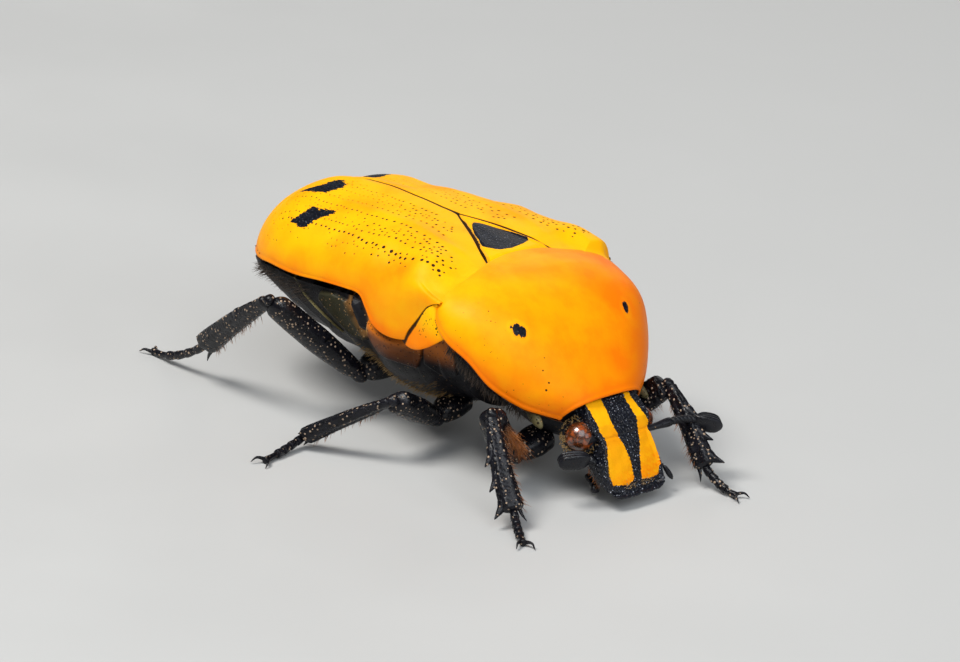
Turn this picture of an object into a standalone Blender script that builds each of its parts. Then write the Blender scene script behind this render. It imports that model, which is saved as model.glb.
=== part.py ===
"""Spotted fruit beetle, life size, standing still on its six feet.

Every piece is drawn in the body's own frame, in millimetres: X runs forward along the back, Y to the
beetle's left and Z up, with the origin on the back where the neck shield meets the scutellum. Each finished
node is turned into metres and parented to one empty, which tips the body head down over the floor at Z = 0.
"""

import math

import bmesh
import bpy
import numpy as np
from mathutils import Matrix, Vector

MM = 0.001
GAP = 0.3
HALF_GAP = GAP / 2
SIDES = {"right": -1, "left": 1}

# How the body stands: the floor's rise along the body, its depth below the origin, the middle of the stance
FLOOR_RISE = 0.1
FLOOR_DROP = 11.0
STANCE_MIDDLE = -4.164

# Wing covers
SHELL = 0.6
ELYTRON_END = -17.2
ELYTRON_START = -0.1
ELYTRON_WIDTH = (
    (-17.2, 5.9), (-14, 6.4), (-11, 6.65), (-8, 6.7), (-5.5, 6.75), (-3, 6.95), (-1.5, 6.85), (0, 6.8),
)
ELYTRON_TOP = (
    (-17.2, 0.2), (-14.5, 0.25), (-12.8, 0.25), (-11.5, 0.19), (-9.9, 0.3), (-8.3, 0.46), (-6.6, 0.6),
    (-5.2, 0.72), (-3, 0.7), (0, 0.42),
)
ELYTRON_ROUND = ((-17.2, 2.2), (-8, 2.3), (-5, 2.6), (-3, 3.3), (-1, 4.5), (0, 4.6))
FRONT_BOW = 0.2
FRONT_CORNER_START = 0.84
FRONT_CORNER_SWEEP = 1.4
SEAM_CLOSES_AT = -6.3
SEAM_CLOSING = 2.4
# Low swellings of the back, as place along, place out, spread and rise
BUMPS = ((-1.2, 5.7, 1.5, 0.6), (-14.0, 4.1, 1.6, 0.14))
SIDE_SWELL = ((-17.2, 0), (-8, 0.05), (-4, 0.15), (-1.5, 0.25), (0, 0.3))
ELYTRON_EDGE = (
    (-17.2, -5.2), (-15, -4.9), (-13, -4.4), (-10.6, -4.0), (-8.5, -3.65), (-6.5, -3.3), (-5.3, -3.15),
    (-4.6, -3.5), (-3.9, -4.1), (-2.6, -4.25), (-1.3, -3.95), (0, -3.2),
)
APEX_START = -9.0
APEX_ROUND_PLAN = 3.3
APEX_ROUND_SIDE = 2.4

# Scutellum: the triangle between the wing covers
SCUTELLUM_LENGTH = 5.1
SCUTELLUM_HALF_WIDTH = 2.45
SCUTELLUM_TAPER = 0.92
SCUTELLUM_SUNK = 0.05

# Trunk below the wing covers
TRUNK_FRONT = 0.0
TRUNK_INSET = SHELL + GAP + 0.15
TRUNK_SHELF = GAP + 0.2
TRUNK_END = -16.3
TRUNK_ROUND_END = TRUNK_END - 1.5
TRUNK_BOTTOM = (
    (-16.3, -6.6), (-15, -7.5), (-13, -8.3), (-10.5, -8.9), (-7, -9.3), (-3, -9.4), (-1, -9.0), (0.1, -8.4),
)
TRUNK_SIDE = (
    (-17, 5.2), (-14, 5.7), (-10, 6.15), (-6, 6.3), (-3, 6.45), (-1.8, 6.0), (-1.1, 5.7), (0.1, 5.45),
)
TRUNK_STATIONS = (TRUNK_FRONT, -0.6, -1.3, -2, -3, -4, -4.8, -5.6, -6.8, -8, -9, -15, -15.7, TRUNK_END)
WAIST_X = -8.3
TAIL_POINT = Vector((-14.9, 0, -6.2))
TAIL_NORMAL = Vector((-0.86, 0, -0.5))
SEGMENT_JOINTS = (-9.9, -11.3, -12.6, -13.8)
SEGMENT_GROOVE = 0.16
GROOVE_SPREAD = 0.12
KEEL = 1.12

# Neck shield with the fore chest below it
SHIELD_WIDTH = (
    (0, 6.55), (0.06, 6.85), (0.2, 7.0), (0.42, 6.7), (0.6, 6.15), (0.8, 5.0), (0.92, 4.15), (1, 3.35),
)
SHIELD_EDGE = ((0, -1.3), (0.06, -1.7), (0.2, -2.95), (0.42, -3.9), (0.6, -4.7), (0.8, -5.45), (1, -6.05))
SHIELD_TOP = ((0, 0.42), (0.15, 0.62), (0.3, 0.55), (0.5, -0.1), (0.7, -1.45), (0.85, -2.9), (1, -4.4))
SHIELD_FRONT_MIDDLE = 8.5
SHIELD_FRONT_CORNER = 7.35
SHIELD_BACK_MIDDLE = 0.25
SHIELD_BACK_BOW = 0.06
SHIELD_BACK_BOW_HALF_WIDTH = 0.75
SHIELD_BACK_SWEEP = 0.42
SHIELD_ROUND = 2.4
SHIELD_STEPS = (0, 0.05, 0.12, 0.22, 0.33, 0.44, 0.55, 0.66, 0.76, 0.85, 0.93, 1)
SHIELD_RIM = 0.35
CHEST_BOTTOM = ((0, -7.6), (0.3, -8.3), (0.6, -8.5), (0.85, -8.1), (1, -7.6))
CHEST_NARROWING = 0.9
CHEST_SET_BACK = 0.25
CHEST_SET_BACK_FRONT = 0.3

# Head: its own axes are the length down the face, the width and the height out of the face
HEAD_TOP = Vector((8.5, 0, -4.35))
FACE_DOWN = Vector((0.53, 0, -0.848))
FACE_OUT = Vector((0.848, 0, 0.53))
FACE_HALF_WIDTH = ((0.2, 1.95), (1.2, 1.95), (2.4, 1.85), (3.4, 2.0), (4.6, 2.15), (5.5, 2.0))
FACE_STEPS = (0.0, 0.8, 1.6, 2.4, 3.2, 4.0, 4.7, 5.2, 5.5)
HEAD_SUNK = 0.5
HEAD_SUNK_LENGTH = 1.6
HEAD_DEPTH = ((0.2, 3.0), (1.5, 3.2), (3.0, 2.6), (4.2, 1.7), (5.5, 0.9))
HEAD_SLANT = 0.3
# Half outline of the head: the crown as share of the width and height, and the underside as shares of both
HEAD_CROWN = ((0.0, 0.1), (0.5, 0.08), (0.84, 0.02))
HEAD_CHEEK = ((0.99, -0.1), (1.0, -0.45))
HEAD_THROAT = ((0.94, -0.62), (0.65, -0.93), (0.3, -1.0))
EYE_RADIUS = 0.92
EYE_DOWN = 1.75
EYE_OUT = -1.1
EYE_SIDE = 2.33

# Feelers and mouth palps, as points from the root to the tip
FEELERS = {
    "right": (
        (9.85, 2.35, -7.0), (10.15, 3.1, -7.75), (9.9, 3.55, -7.75), (9.75, 3.65, -7.45), (9.0, 4.5, -7.4),
    ),
    "left": (
        (9.98, 2.25, -6.87), (9.5, 3.8, -7.05), (8.1, 5.2, -7.5), (8.7, 6.75, -7.25), (9.95, 7.5, -7.55),
    ),
}
FEELER_STEM = (0.42, 0.5, 0.52, 0.4, 0.42, 0.4, 0.42)
CLUB_WIDTH = 0.8
CLUB_DEPTH = 0.62
CLUB_TAPER = ((-0.05, 0.5), (0.12, 0.8), (0.4, 1), (0.7, 1), (0.92, 0.75), (1, 0.35))
PALPS = {
    "right": ((8.42, 1.2, -9.1), (9.15, 1.4, -9.4), (9.6, 1.55, -9.65)),
    "left": ((8.6, 1.6, -9.15), (10.3, 2.85, -8.6), (11.0, 2.95, -9.2)),
}
PALP_STEM = (0.42, 0.45, 0.45, 0.55, 0.32)

# Legs: where each one starts, its knee, its ankle and the tip of its foot, all given with a positive Y. The
# middle and hind legs stand alike on both sides.
STANCES = {
    "fore_right": ((5.3, 3.65, -8.8), (5.95, 6.8, -5.2), (10.1, 8.3, -9.0), (12.3, 9.57, -9.77)),
    "fore_left": ((5.3, 3.65, -8.7), (7.7, 5.4, -5.75), (11.8, 4.9, -8.62), (14.05, 5.22, -9.59)),
    "mid": ((-0.9, 3.8, -9.3), (-0.6, 7.6, -7.2), (-4.8, 10.0, -10.85), (-4.12, 13.42, -11.4)),
    "hind": ((-6.9, 4.2, -9.1), (-9.9, 9.0, -4.8), (-15.5, 8.0, -10.3), (-20.2, 7.6, -13.0)),
}
LEG_KINDS = ("fore", "mid", "hind")
THIGH_WIDTH = {"fore": 1.35, "mid": 1.3, "hind": 1.55}
THIGH_FLATNESS = 0.78
THIGH_BOW = 0.25
THIGH_TAPER = ((0, 0.45), (0.08, 0.72), (0.2, 0.85), (0.4, 1), (0.6, 1), (0.8, 0.86), (0.93, 0.66), (1, 0.42))
KNEE_GAP = 0.36
SHIN_WIDTH = {"fore": 1.05, "mid": 0.95, "hind": 1.0}
SHIN_FLATNESS = 0.7
SHIN_TAPER = (
    (0, 0.55), (0.08, 0.72), (0.25, 0.78), (0.45, 0.9), (0.65, 1), (0.85, 1.18), (0.96, 1.15), (1, 0.8),
)
SHIN_TEETH = {"fore": (0.45, 0.7, 0.97), "mid": (0.55, 0.97), "hind": (0.5, 0.97)}
TOOTH_REACH = {"fore": 1.15, "mid": 0.6, "hind": 0.65}
SPUR_LENGTH = {"fore": 0.95, "mid": 0.7, "hind": 1.1}
ANKLE_GAP = GAP + 0.3
FOOT_BEAD = 0.56
FOOT_NECK = 0.44
FOOT_SINK = 0.13
FOOT_BEADS = 5
BEAD_SHARE = 0.165
BEAD_TAPER = ((0.3, 0.85), (0.75, 1.0), (0.97, 0.72))
CLAW_LENGTH = 0.75
CLAW_WIDTH = 0.34
CLAW_TAPER = (1, 0.85, 0.6, 0.18)
CLAW_ROOT_SPREAD = 0.06
CLAW_BEND_SPREAD = 0.3
CLAW_TIP_SPREAD = 0.42

# Hips, as middle, half length, half width and half height
HIPS = {
    "fore": ((5.2, 2.0, -8.3), (1.15, 1.25, 0.95)),
    "mid": ((-1.0, 2.3, -8.7), (1.1, 1.25, 1.0)),
    "hind": ((-6.6, 2.25, -8.45), (1.3, 1.7, 0.85)),
}

# Side plate between the neck shield and each wing cover's shoulder, as the corners of its outer face
SIDE_PLATE = (
    (0.36, 6.45, -1.65), (0.6, 6.6, -2.4), (1.2, 6.55, -3.2),
    (0.2, 6.65, -3.7), (-0.85, 6.85, -3.95), (-0.1, 6.75, -2.7),
)
SIDE_PLATE_THICKNESS = 0.6
SIDE_PLATE_CROWN = 0.12
SIDE_PLATE_DRAFT = 0.12

# Finishes, as colour and roughness
BLACK = ((0.012, 0.012, 0.014, 1), 0.3)
YELLOW = ((0.95, 0.47, 0.01, 1), 0.42)
ORANGE = ((0.9, 0.32, 0.01, 1), 0.42)
BROWN = ((0.2, 0.05, 0.015, 1), 0.2)


def smooth(stations, at):
    """Cubic value at a place between stations, which are pairs of place and value with the places rising."""
    places = [s[0] for s in stations]
    values = [s[1] for s in stations]
    last = len(places) - 2
    i = min(max(np.searchsorted(places, at) - 1, 0), last)

    def slope(k):
        """Slope at station k, from its neighbours."""
        low, high = max(k - 1, 0), min(k + 1, last + 1)
        return (values[high] - values[low]) / (places[high] - places[low])

    step = places[i + 1] - places[i]
    t = min(max((at - places[i]) / step, 0), 1)
    start, end = (1 + 2 * t) * (1 - t) ** 2, t * t * (3 - 2 * t)
    lean = t * (1 - t) * step
    return start * values[i] + end * values[i + 1] + lean * ((1 - t) * slope(i) - t * slope(i + 1))


def mirrored(point, side):
    """The point on the right side (-1) or the left side (1), from one given with a positive Y."""
    return Vector((point[0], point[1] * side, point[2]))


def make_stance():
    """The empty that holds the body over the floor."""
    stance = bpy.data.objects.new("stance", None)
    bpy.context.scene.collection.objects.link(stance)
    tilt = math.atan(FLOOR_RISE)
    stance.rotation_euler = (0, tilt, 0)
    stance.location = (-STANCE_MIDDLE * MM, 0, FLOOR_DROP * math.cos(tilt) * MM)
    return stance


def material(name, colour, roughness):
    """A plain finish."""
    made = bpy.data.materials.new(name)
    made.use_nodes = True
    shader = made.node_tree.nodes["Principled BSDF"]
    shader.inputs["Base Color"].default_value = colour
    shader.inputs["Roughness"].default_value = roughness
    shader.inputs["Metallic"].default_value = 0
    return made


def clean(mesh_data, distance=0.012):
    """Merges points that nearly meet, drops slivers and turns every face outward."""
    bmesh.ops.triangulate(mesh_data, faces=mesh_data.faces)
    bmesh.ops.remove_doubles(mesh_data, verts=mesh_data.verts, dist=distance)
    bmesh.ops.dissolve_degenerate(mesh_data, edges=mesh_data.edges, dist=distance / 4)
    bmesh.ops.triangulate(mesh_data, faces=mesh_data.faces)
    bmesh.ops.recalc_face_normals(mesh_data, faces=mesh_data.faces)


def new_object(name, mesh_data):
    """Closes a bmesh into an object in the scene."""
    clean(mesh_data, 0.002)
    mesh = bpy.data.meshes.new(name)
    mesh_data.to_mesh(mesh)
    mesh_data.free()
    made = bpy.data.objects.new(name, mesh)
    bpy.context.scene.collection.objects.link(made)
    return made


def add_grid(mesh_data, grid, closed=False):
    """Adds a grid of points as faces and returns its vertices. A closed grid's rows run round."""
    rows = [[mesh_data.verts.new(p) for p in row] for row in grid]
    across = len(rows[0])
    for near, far in zip(rows, rows[1:]):
        for i in range(across if closed else across - 1):
            j = (i + 1) % across
            mesh_data.faces.new((near[i], near[j], far[j], far[i]))
    return rows


def shell(name, outer, inner):
    """A plate with an outer and an inner grid, closed round its rim."""
    plate = bmesh.new()
    tops = add_grid(plate, outer)
    bottoms = add_grid(plate, inner)

    def rim(top, bottom):
        """Faces between one border of the outer grid and the same border of the inner one."""
        for i in range(len(top) - 1):
            plate.faces.new((top[i], top[i + 1], bottom[i + 1], bottom[i]))

    rim(tops[0], bottoms[0])
    if (outer[-1][0] - outer[-1][-1]).length > 1e-3:
        rim(tops[-1], bottoms[-1])
    rim([row[0] for row in tops], [row[0] for row in bottoms])
    rim([row[-1] for row in tops], [row[-1] for row in bottoms])
    return new_object(name, plate)


def loft(name, rings):
    """A closed body through rings of points, with a flat face at each end."""
    body = bmesh.new()
    rows = add_grid(body, rings, closed=True)
    for row in (rows[0], rows[-1]):
        centre = body.verts.new(sum((v.co for v in row), Vector()) / len(row))
        for i, vertex in enumerate(row):
            body.faces.new((vertex, row[(i + 1) % len(row)], centre))
    return new_object(name, body)


def cut(made, point, normal):
    """Cuts away what lies beyond a plane and closes the cut."""
    body = bmesh.new()
    body.from_mesh(made.data)
    everything = body.verts[:] + body.edges[:] + body.faces[:]
    found = bmesh.ops.bisect_plane(
        body, geom=everything, dist=1e-5, plane_co=point, plane_no=normal, clear_outer=True
    )
    border = [e for e in found["geom_cut"] if isinstance(e, bmesh.types.BMEdge)]
    closed = bmesh.ops.holes_fill(body, edges=border, sides=0)["faces"]
    bmesh.ops.triangulate(body, faces=closed)
    clean(body)
    body.to_mesh(made.data)
    body.free()
    return made


def copied(made, name):
    """A second object of the same shape, with a mesh of its own."""
    other = bpy.data.objects.new(name, made.data.copy())
    bpy.context.scene.collection.objects.link(other)
    return other


def apply_modifiers(made):
    """Turns the modifiers' result into the object's own mesh."""
    graph = bpy.context.evaluated_depsgraph_get()
    result = bpy.data.meshes.new_from_object(made.evaluated_get(graph))
    made.modifiers.clear()
    made.data = result


def keep_largest(made):
    """Drops all but the largest closed surface."""
    body = bmesh.new()
    body.from_mesh(made.data)
    left = set(body.verts)
    pieces = []
    while left:
        piece, front = set(), [left.pop()]
        while front:
            vertex = front.pop()
            piece.add(vertex)
            for edge in vertex.link_edges:
                other = edge.other_vert(vertex)
                if other in left:
                    left.discard(other)
                    front.append(other)
        pieces.append(piece)
    pieces.sort(key=len)
    bmesh.ops.delete(body, geom=[v for piece in pieces[:-1] for v in piece], context="VERTS")
    clean(body)
    body.to_mesh(made.data)
    body.free()


def combine(made, others, operation="UNION"):
    """Joins or cuts an object with others in one Boolean, then removes them."""
    group = bpy.data.collections.new("cutters")
    bpy.context.scene.collection.children.link(group)
    for other in others:
        bpy.context.scene.collection.objects.unlink(other)
        group.objects.link(other)
    modifier = made.modifiers.new("combine", "BOOLEAN")
    modifier.operation = operation
    modifier.operand_type = "COLLECTION"
    modifier.collection = group
    modifier.solver = "EXACT"
    apply_modifiers(made)
    for other in others:
        bpy.data.objects.remove(other)
    bpy.data.collections.remove(group)
    keep_largest(made)
    return made


def apex_share(x, end, roundness):
    """Share of the full section left at x, from all of it before the rounded apex to none at its end."""
    along = min(max((APEX_START - x) / (APEX_START - end), 0), 1)
    return max(1 - along**roundness, 0) ** (1 / roundness)


def back_section(x, inset=0.0):
    """Half width, top height and edge height of the wing covers at x, or of a surface inside them."""
    end = ELYTRON_END + inset
    edge = smooth(ELYTRON_EDGE, x)
    plan = apex_share(x, end, APEX_ROUND_PLAN)
    side = apex_share(x, end, APEX_ROUND_SIDE)
    half = (smooth(ELYTRON_WIDTH, x) - HALF_GAP - inset) * plan + HALF_GAP
    top = edge + (smooth(ELYTRON_TOP, x) - inset - edge) * side
    return half, top, edge


def bump(x, y):
    """Extra height of the back's low swellings at the shoulder and near the apex."""
    height = 0
    for at, out, spread, rise in BUMPS:
        height += rise * math.exp(-((x - at) ** 2 + (abs(y) - out) ** 2) / spread**2)
    return height


def back_height(x, y, inset=0.0):
    """Height of the back at a place on it."""
    half, top, edge = back_section(x, inset)
    power = smooth(ELYTRON_ROUND, x)
    share = min(max((abs(y) - HALF_GAP) / max(half - HALF_GAP, 1e-6), 0), 1)
    level = (1 - share**power) ** (1 / power)
    return edge + (top - edge) * level + bump(x, y) * level


def scutellum_side(x):
    """Half width of the scutellum at x, which is zero behind its tip."""
    left = min(max(1 + x / SCUTELLUM_LENGTH, 0), 1)
    return SCUTELLUM_HALF_WIDTH * left**SCUTELLUM_TAPER


def elytron_start(across):
    """Where a wing cover begins: by the scutellum at 0, and at the shoulder's lower corner at 1."""
    corner = max((across - FRONT_CORNER_START) / (1 - FRONT_CORNER_START), 0)
    return ELYTRON_START + FRONT_BOW * across**2 - FRONT_CORNER_SWEEP * corner


def elytron_grid(side, inset, along=22, across=13):
    """Grid of points over one wing cover, from the front to its apex and from the seam out to its edge."""
    grid = []
    for i in range(along):
        row = []
        for j in range(across):
            spread = j / (across - 1)
            start = elytron_start(spread)
            end = ELYTRON_END + inset
            x = start + (end - start) * math.sin(i / (along - 1) * math.pi / 2)
            if i == along - 1:
                row.append(mirrored((end, HALF_GAP, smooth(ELYTRON_EDGE, end)), side))
                continue
            half, _, edge = back_section(x, inset)
            seam = scutellum_side(x) + GAP * min(max((x - SEAM_CLOSES_AT) / SEAM_CLOSING, 0), 1)
            reach = max(half - HALF_GAP, 0)
            first = min(seam / reach, 1) if reach > 0 else 0
            power = smooth(ELYTRON_ROUND, x)
            low = math.asin(first ** (power / 2))
            angle = low + (math.pi / 2 - low) * spread
            y = HALF_GAP + reach * math.sin(angle) ** (2 / power)
            z = back_height(x, y, inset) if spread < 1 else edge
            y += smooth(SIDE_SWELL, x) * math.sin(math.pi * (0.5 * spread + 0.5 * spread**3)) ** 2
            row.append(mirrored((x, y, z), side))
        grid.append(row)
    return grid


def make_elytron(word, side):
    """One wing cover, a curved shell over the hind body."""
    return shell(f"wing_cover_{word}", elytron_grid(side, 0.0), elytron_grid(side, SHELL))


def make_scutellum():
    """The triangular plate between the wing covers."""
    def grid(inset):
        """Points over the plate, from its base to its tip."""
        rows = []
        for i in range(9):
            x = ELYTRON_START - (SCUTELLUM_LENGTH + ELYTRON_START) * i / 8
            half = scutellum_side(x)
            across = [half * t / 3 for t in range(-3, 4)]
            rows.append([Vector((x, y, back_height(x, y, inset))) for y in across])
        return rows

    return shell("scutellum", grid(SCUTELLUM_SUNK), grid(SHELL))


def trunk_ring(x, sides=32):
    """Outline of the trunk at x: its back under the wing covers, its flanks stepping out below them."""
    half, _, edge = back_section(x, TRUNK_INSET)
    power = smooth(ELYTRON_ROUND, x)
    flank = smooth(TRUNK_SIDE, x) * apex_share(x, TRUNK_ROUND_END, APEX_ROUND_PLAN)
    half = min(half, smooth(TRUNK_SIDE, x))
    bottom = smooth(TRUNK_BOTTOM, x)
    groove = max(math.exp(-(((x - joint) / GROOVE_SPREAD) ** 2)) for joint in SEGMENT_JOINTS)
    bottom += SEGMENT_GROOVE * groove
    flank -= SEGMENT_GROOVE * groove
    shelf = edge - TRUNK_SHELF
    quarter = sides // 4
    ring = []
    for j in range(quarter + 1):
        angle = math.pi / 2 * j / quarter
        y = half * math.sin(angle) ** (2 / power)
        ring.append((y, max(back_height(x, y, TRUNK_INSET), edge - 0.1)))
    for j in range(quarter + 1):
        angle = math.pi / 2 * j / quarter
        y = max(flank, half + 0.02) * math.cos(angle) ** KEEL
        ring.append((y, shelf - (shelf - bottom) * math.sin(angle) ** KEEL))
    other = [(-y, z) for y, z in reversed(ring[1:-1])]
    return [Vector((x, y, z)) for y, z in ring + other]


def trunk_stations():
    """Places of the trunk's rings, closer round each groove between the belly plates."""
    grooves = [joint + step for joint in SEGMENT_JOINTS for step in (-0.25, 0, 0.25)]
    between = [(a + b) / 2 for a, b in zip(SEGMENT_JOINTS, SEGMENT_JOINTS[1:])]
    return sorted(list(TRUNK_STATIONS) + grooves + between, reverse=True)


def make_trunk():
    """The hind chest, the belly and the tail plate: one body parted by two thin cuts."""
    whole = loft("hind_chest", [trunk_ring(x) for x in trunk_stations()])
    belly = copied(whole, "belly")
    tail = copied(whole, "tail_plate")
    forward = Vector((1, 0, 0))
    cut(whole, Vector((WAIST_X + HALF_GAP, 0, 0)), -forward)
    cut(belly, Vector((WAIST_X - HALF_GAP, 0, 0)), forward)
    cut(belly, TAIL_POINT - TAIL_NORMAL.normalized() * HALF_GAP, TAIL_NORMAL)
    cut(tail, TAIL_POINT + TAIL_NORMAL.normalized() * HALF_GAP, -TAIL_NORMAL)
    return whole, belly, tail


def shield_point(u, v):
    """Point on the neck shield: u runs from its back edge to its front edge, and v across from -1 to 1."""
    bow = abs(v)
    back = SHIELD_BACK_MIDDLE + SHIELD_BACK_SWEEP * bow**3
    back -= SHIELD_BACK_BOW * math.sin(math.pi * min(bow / SHIELD_BACK_BOW_HALF_WIDTH, 1))
    front = SHIELD_FRONT_MIDDLE + (SHIELD_FRONT_CORNER - SHIELD_FRONT_MIDDLE) * bow**2
    x = back + (front - back) * u
    edge = smooth(SHIELD_EDGE, u)
    top = smooth(SHIELD_TOP, u)
    angle = math.pi / 2 * bow
    y = smooth(SHIELD_WIDTH, u) * math.sin(angle) ** (2 / SHIELD_ROUND)
    z = edge + (top - edge) * max(math.cos(angle), 0) ** (2 / SHIELD_ROUND)
    return Vector((x, math.copysign(y, v), z))


def chest_point(u, v):
    """Point on the underside of the fore chest, from one side edge of the shield to the other."""
    rim = shield_point(u, 1.0)
    bottom = smooth(CHEST_BOTTOM, u)
    bow = abs(v)
    x = rim.x - (1 - bow) * (CHEST_SET_BACK + CHEST_SET_BACK_FRONT * u)
    y = rim.y * CHEST_NARROWING * bow**1.2
    z = bottom + (rim.z - SHIELD_RIM - bottom) * bow**1.8
    return Vector((x, math.copysign(y, v), z))


def make_fore_chest():
    """The neck shield and the fore chest below it, one hard piece as in life."""
    rings = []
    for u in SHIELD_STEPS:
        top = [shield_point(u, j / 8) for j in range(-8, 9)]
        below = [chest_point(u, j / 5) for j in range(4, -5, -1)]
        rings.append(top + below)
    return loft("fore_chest", rings)


def face_point(down, side, out):
    """A point in the head's own axes."""
    return HEAD_TOP + FACE_DOWN * down + Vector((0, side, 0)) + FACE_OUT * out


def head_block(name, grow=0.0):
    """The head's main form: a flat, nearly square face, deep behind and thin at its front rim."""
    rings = []
    for down in FACE_STEPS:
        half = smooth(FACE_HALF_WIDTH, down) + grow
        depth = smooth(HEAD_DEPTH, down) + grow
        sunk = HEAD_SUNK * max(1 - down / HEAD_SUNK_LENGTH, 0)
        profile = [(share, rise + grow - sunk) for share, rise in HEAD_CROWN]
        profile += [(share, drop - sunk) for share, drop in HEAD_CHEEK]
        profile += [(share, drop * depth) for share, drop in HEAD_THROAT]
        right = [
            face_point(down - grow + HEAD_SLANT * min(-out, 1.0), half * share, out) for share, out in profile
        ]
        left = [Vector((p.x, -p.y, p.z)) for p in reversed(right[1:])]
        rings.append(right + left)
    return loft(name, rings)


def make_head():
    """Head capsule with a socket for each eye."""
    head = head_block("head")
    sockets = [ball("socket", eye_centre(side), EYE_RADIUS + GAP * 1.1) for side in SIDES.values()]
    return combine(head, sockets, "DIFFERENCE")


def ball(name, centre, radius, rings=8, sides=14):
    """A round body."""
    body = bmesh.new()
    bmesh.ops.create_uvsphere(body, u_segments=sides, v_segments=rings, radius=radius)
    bmesh.ops.translate(body, verts=body.verts, vec=centre)
    return new_object(name, body)


def eye_centre(side):
    """Middle of one eye."""
    return face_point(EYE_DOWN, EYE_SIDE * side, EYE_OUT)


def limb(name, path, widths, depths, broad=(0, 0, 1), sides=8):
    """A rod along a path. Each point has a width square to the broad direction and a depth along it."""
    rings = []
    last = len(path) - 1
    for i, point in enumerate(path):
        ahead = (path[min(i + 1, last)] - path[max(i - 1, 0)]).normalized()
        across = ahead.cross(Vector(broad))
        if across.length < 1e-3:
            across = ahead.orthogonal()
        across.normalize()
        upward = across.cross(ahead)
        ring = []
        for j in range(sides):
            angle = 2 * math.pi * (j + 0.5) / sides
            sideways = across * (math.cos(angle) * widths[i] / 2)
            ring.append(point + sideways + upward * (math.sin(angle) * depths[i] / 2))
        rings.append(ring)
    return loft(name, rings)


def spike(name, base, tip, width):
    """A pointed tooth."""
    steps = (0, 0.4, 0.75, 1)
    sizes = [width * (1 - 0.86 * step) for step in steps]
    return limb(name, [base.lerp(tip, step) for step in steps], sizes, sizes, broad=(0.3, 0.2, 1), sides=6)


def leg_frame(kind, word):
    """The four points of a leg on its own side, and the way its outer edge faces."""
    points = STANCES.get(f"{kind}_{word}") or STANCES[kind]
    root, knee, ankle, tip = [mirrored(point, SIDES[word]) for point in points]
    shin = (ankle - knee).normalized()
    outer = knee - root
    outer = (outer - shin * outer.dot(shin)).normalized()
    return root, knee, ankle, tip, outer


def make_thigh(kind, word):
    """Thigh: a flattened spindle from the hip to the knee."""
    root, knee, _, _, outer = leg_frame(kind, word)
    along = (knee - root).normalized()
    end = knee - along * KNEE_GAP
    path = [root.lerp(end, step) + outer * (THIGH_BOW * math.sin(math.pi * step)) for step, _ in THIGH_TAPER]
    widths = [THIGH_WIDTH[kind] * size for _, size in THIGH_TAPER]
    depths = [width * THIGH_FLATNESS for width in widths]
    return limb(f"thigh_{kind}_{word}", path, widths, depths, broad=along.cross(outer), sides=10)


def make_shin(kind, word):
    """Shin: slender at the knee, broad at the ankle, with teeth along its outer edge and a spur inside."""
    _, knee, ankle, _, outer = leg_frame(kind, word)
    width = SHIN_WIDTH[kind]
    along = (ankle - knee).normalized()
    start = knee + along * (KNEE_GAP + THIGH_WIDTH[kind] * 0.22)
    path = [start.lerp(ankle, step) for step, _ in SHIN_TAPER]
    widths = [width * size for _, size in SHIN_TAPER]
    depths = [width * SHIN_FLATNESS * min(size, 0.95) for _, size in SHIN_TAPER]
    shin = limb(f"shin_{kind}_{word}", path, widths, depths, broad=along.cross(outer), sides=10)
    spikes = []
    for place in SHIN_TEETH[kind]:
        base = start.lerp(ankle, place - 0.05) + outer * width * 0.2
        reach = TOOTH_REACH[kind] * (0.75 + 0.25 * place)
        spikes.append(spike("tooth", base, base + (outer * 0.85 + along * 0.6) * reach, width * 0.6))
    base = ankle - along * 0.35 - outer * width * 0.3
    spikes.append(spike("spur", base, base + (along - outer * 0.28) * SPUR_LENGTH[kind], width * 0.42))
    return combine(shin, spikes)


def floor_under(x):
    """Height of the floor under a place, in the body frame."""
    return FLOOR_RISE * x - FLOOR_DROP


def foot_taper():
    """Places and widths along a foot: a row of beads with narrow necks, and a slender last joint."""
    steps, sizes = [0.0], [FOOT_NECK]
    for bead in range(FOOT_BEADS):
        last_one = bead == FOOT_BEADS - 1
        first = bead * BEAD_SHARE
        last = 1.0 if last_one else first + BEAD_SHARE
        for share, size in BEAD_TAPER:
            steps.append(first + (last - first) * share)
            swell = (size - BEAD_TAPER[-1][1]) / (1 - BEAD_TAPER[-1][1])
            sizes.append(FOOT_NECK * 1.05 if last_one else FOOT_NECK + (FOOT_BEAD - FOOT_NECK) * swell)
    return steps, sizes


def claw(base, forward, across, drop):
    """One curved claw, bent out to the given side and down to its point."""
    bend = base + forward * CLAW_LENGTH * 0.55 + across * CLAW_BEND_SPREAD + Vector((0, 0, 0.08))
    point = base + forward * CLAW_LENGTH + across * CLAW_TIP_SPREAD - Vector((0, 0, drop))
    path = [base, base.lerp(bend, 0.6), bend.lerp(point, 0.3), point]
    sizes = [CLAW_WIDTH * share for share in CLAW_TAPER]
    return limb("claw", path, sizes, sizes, sides=6)


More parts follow.
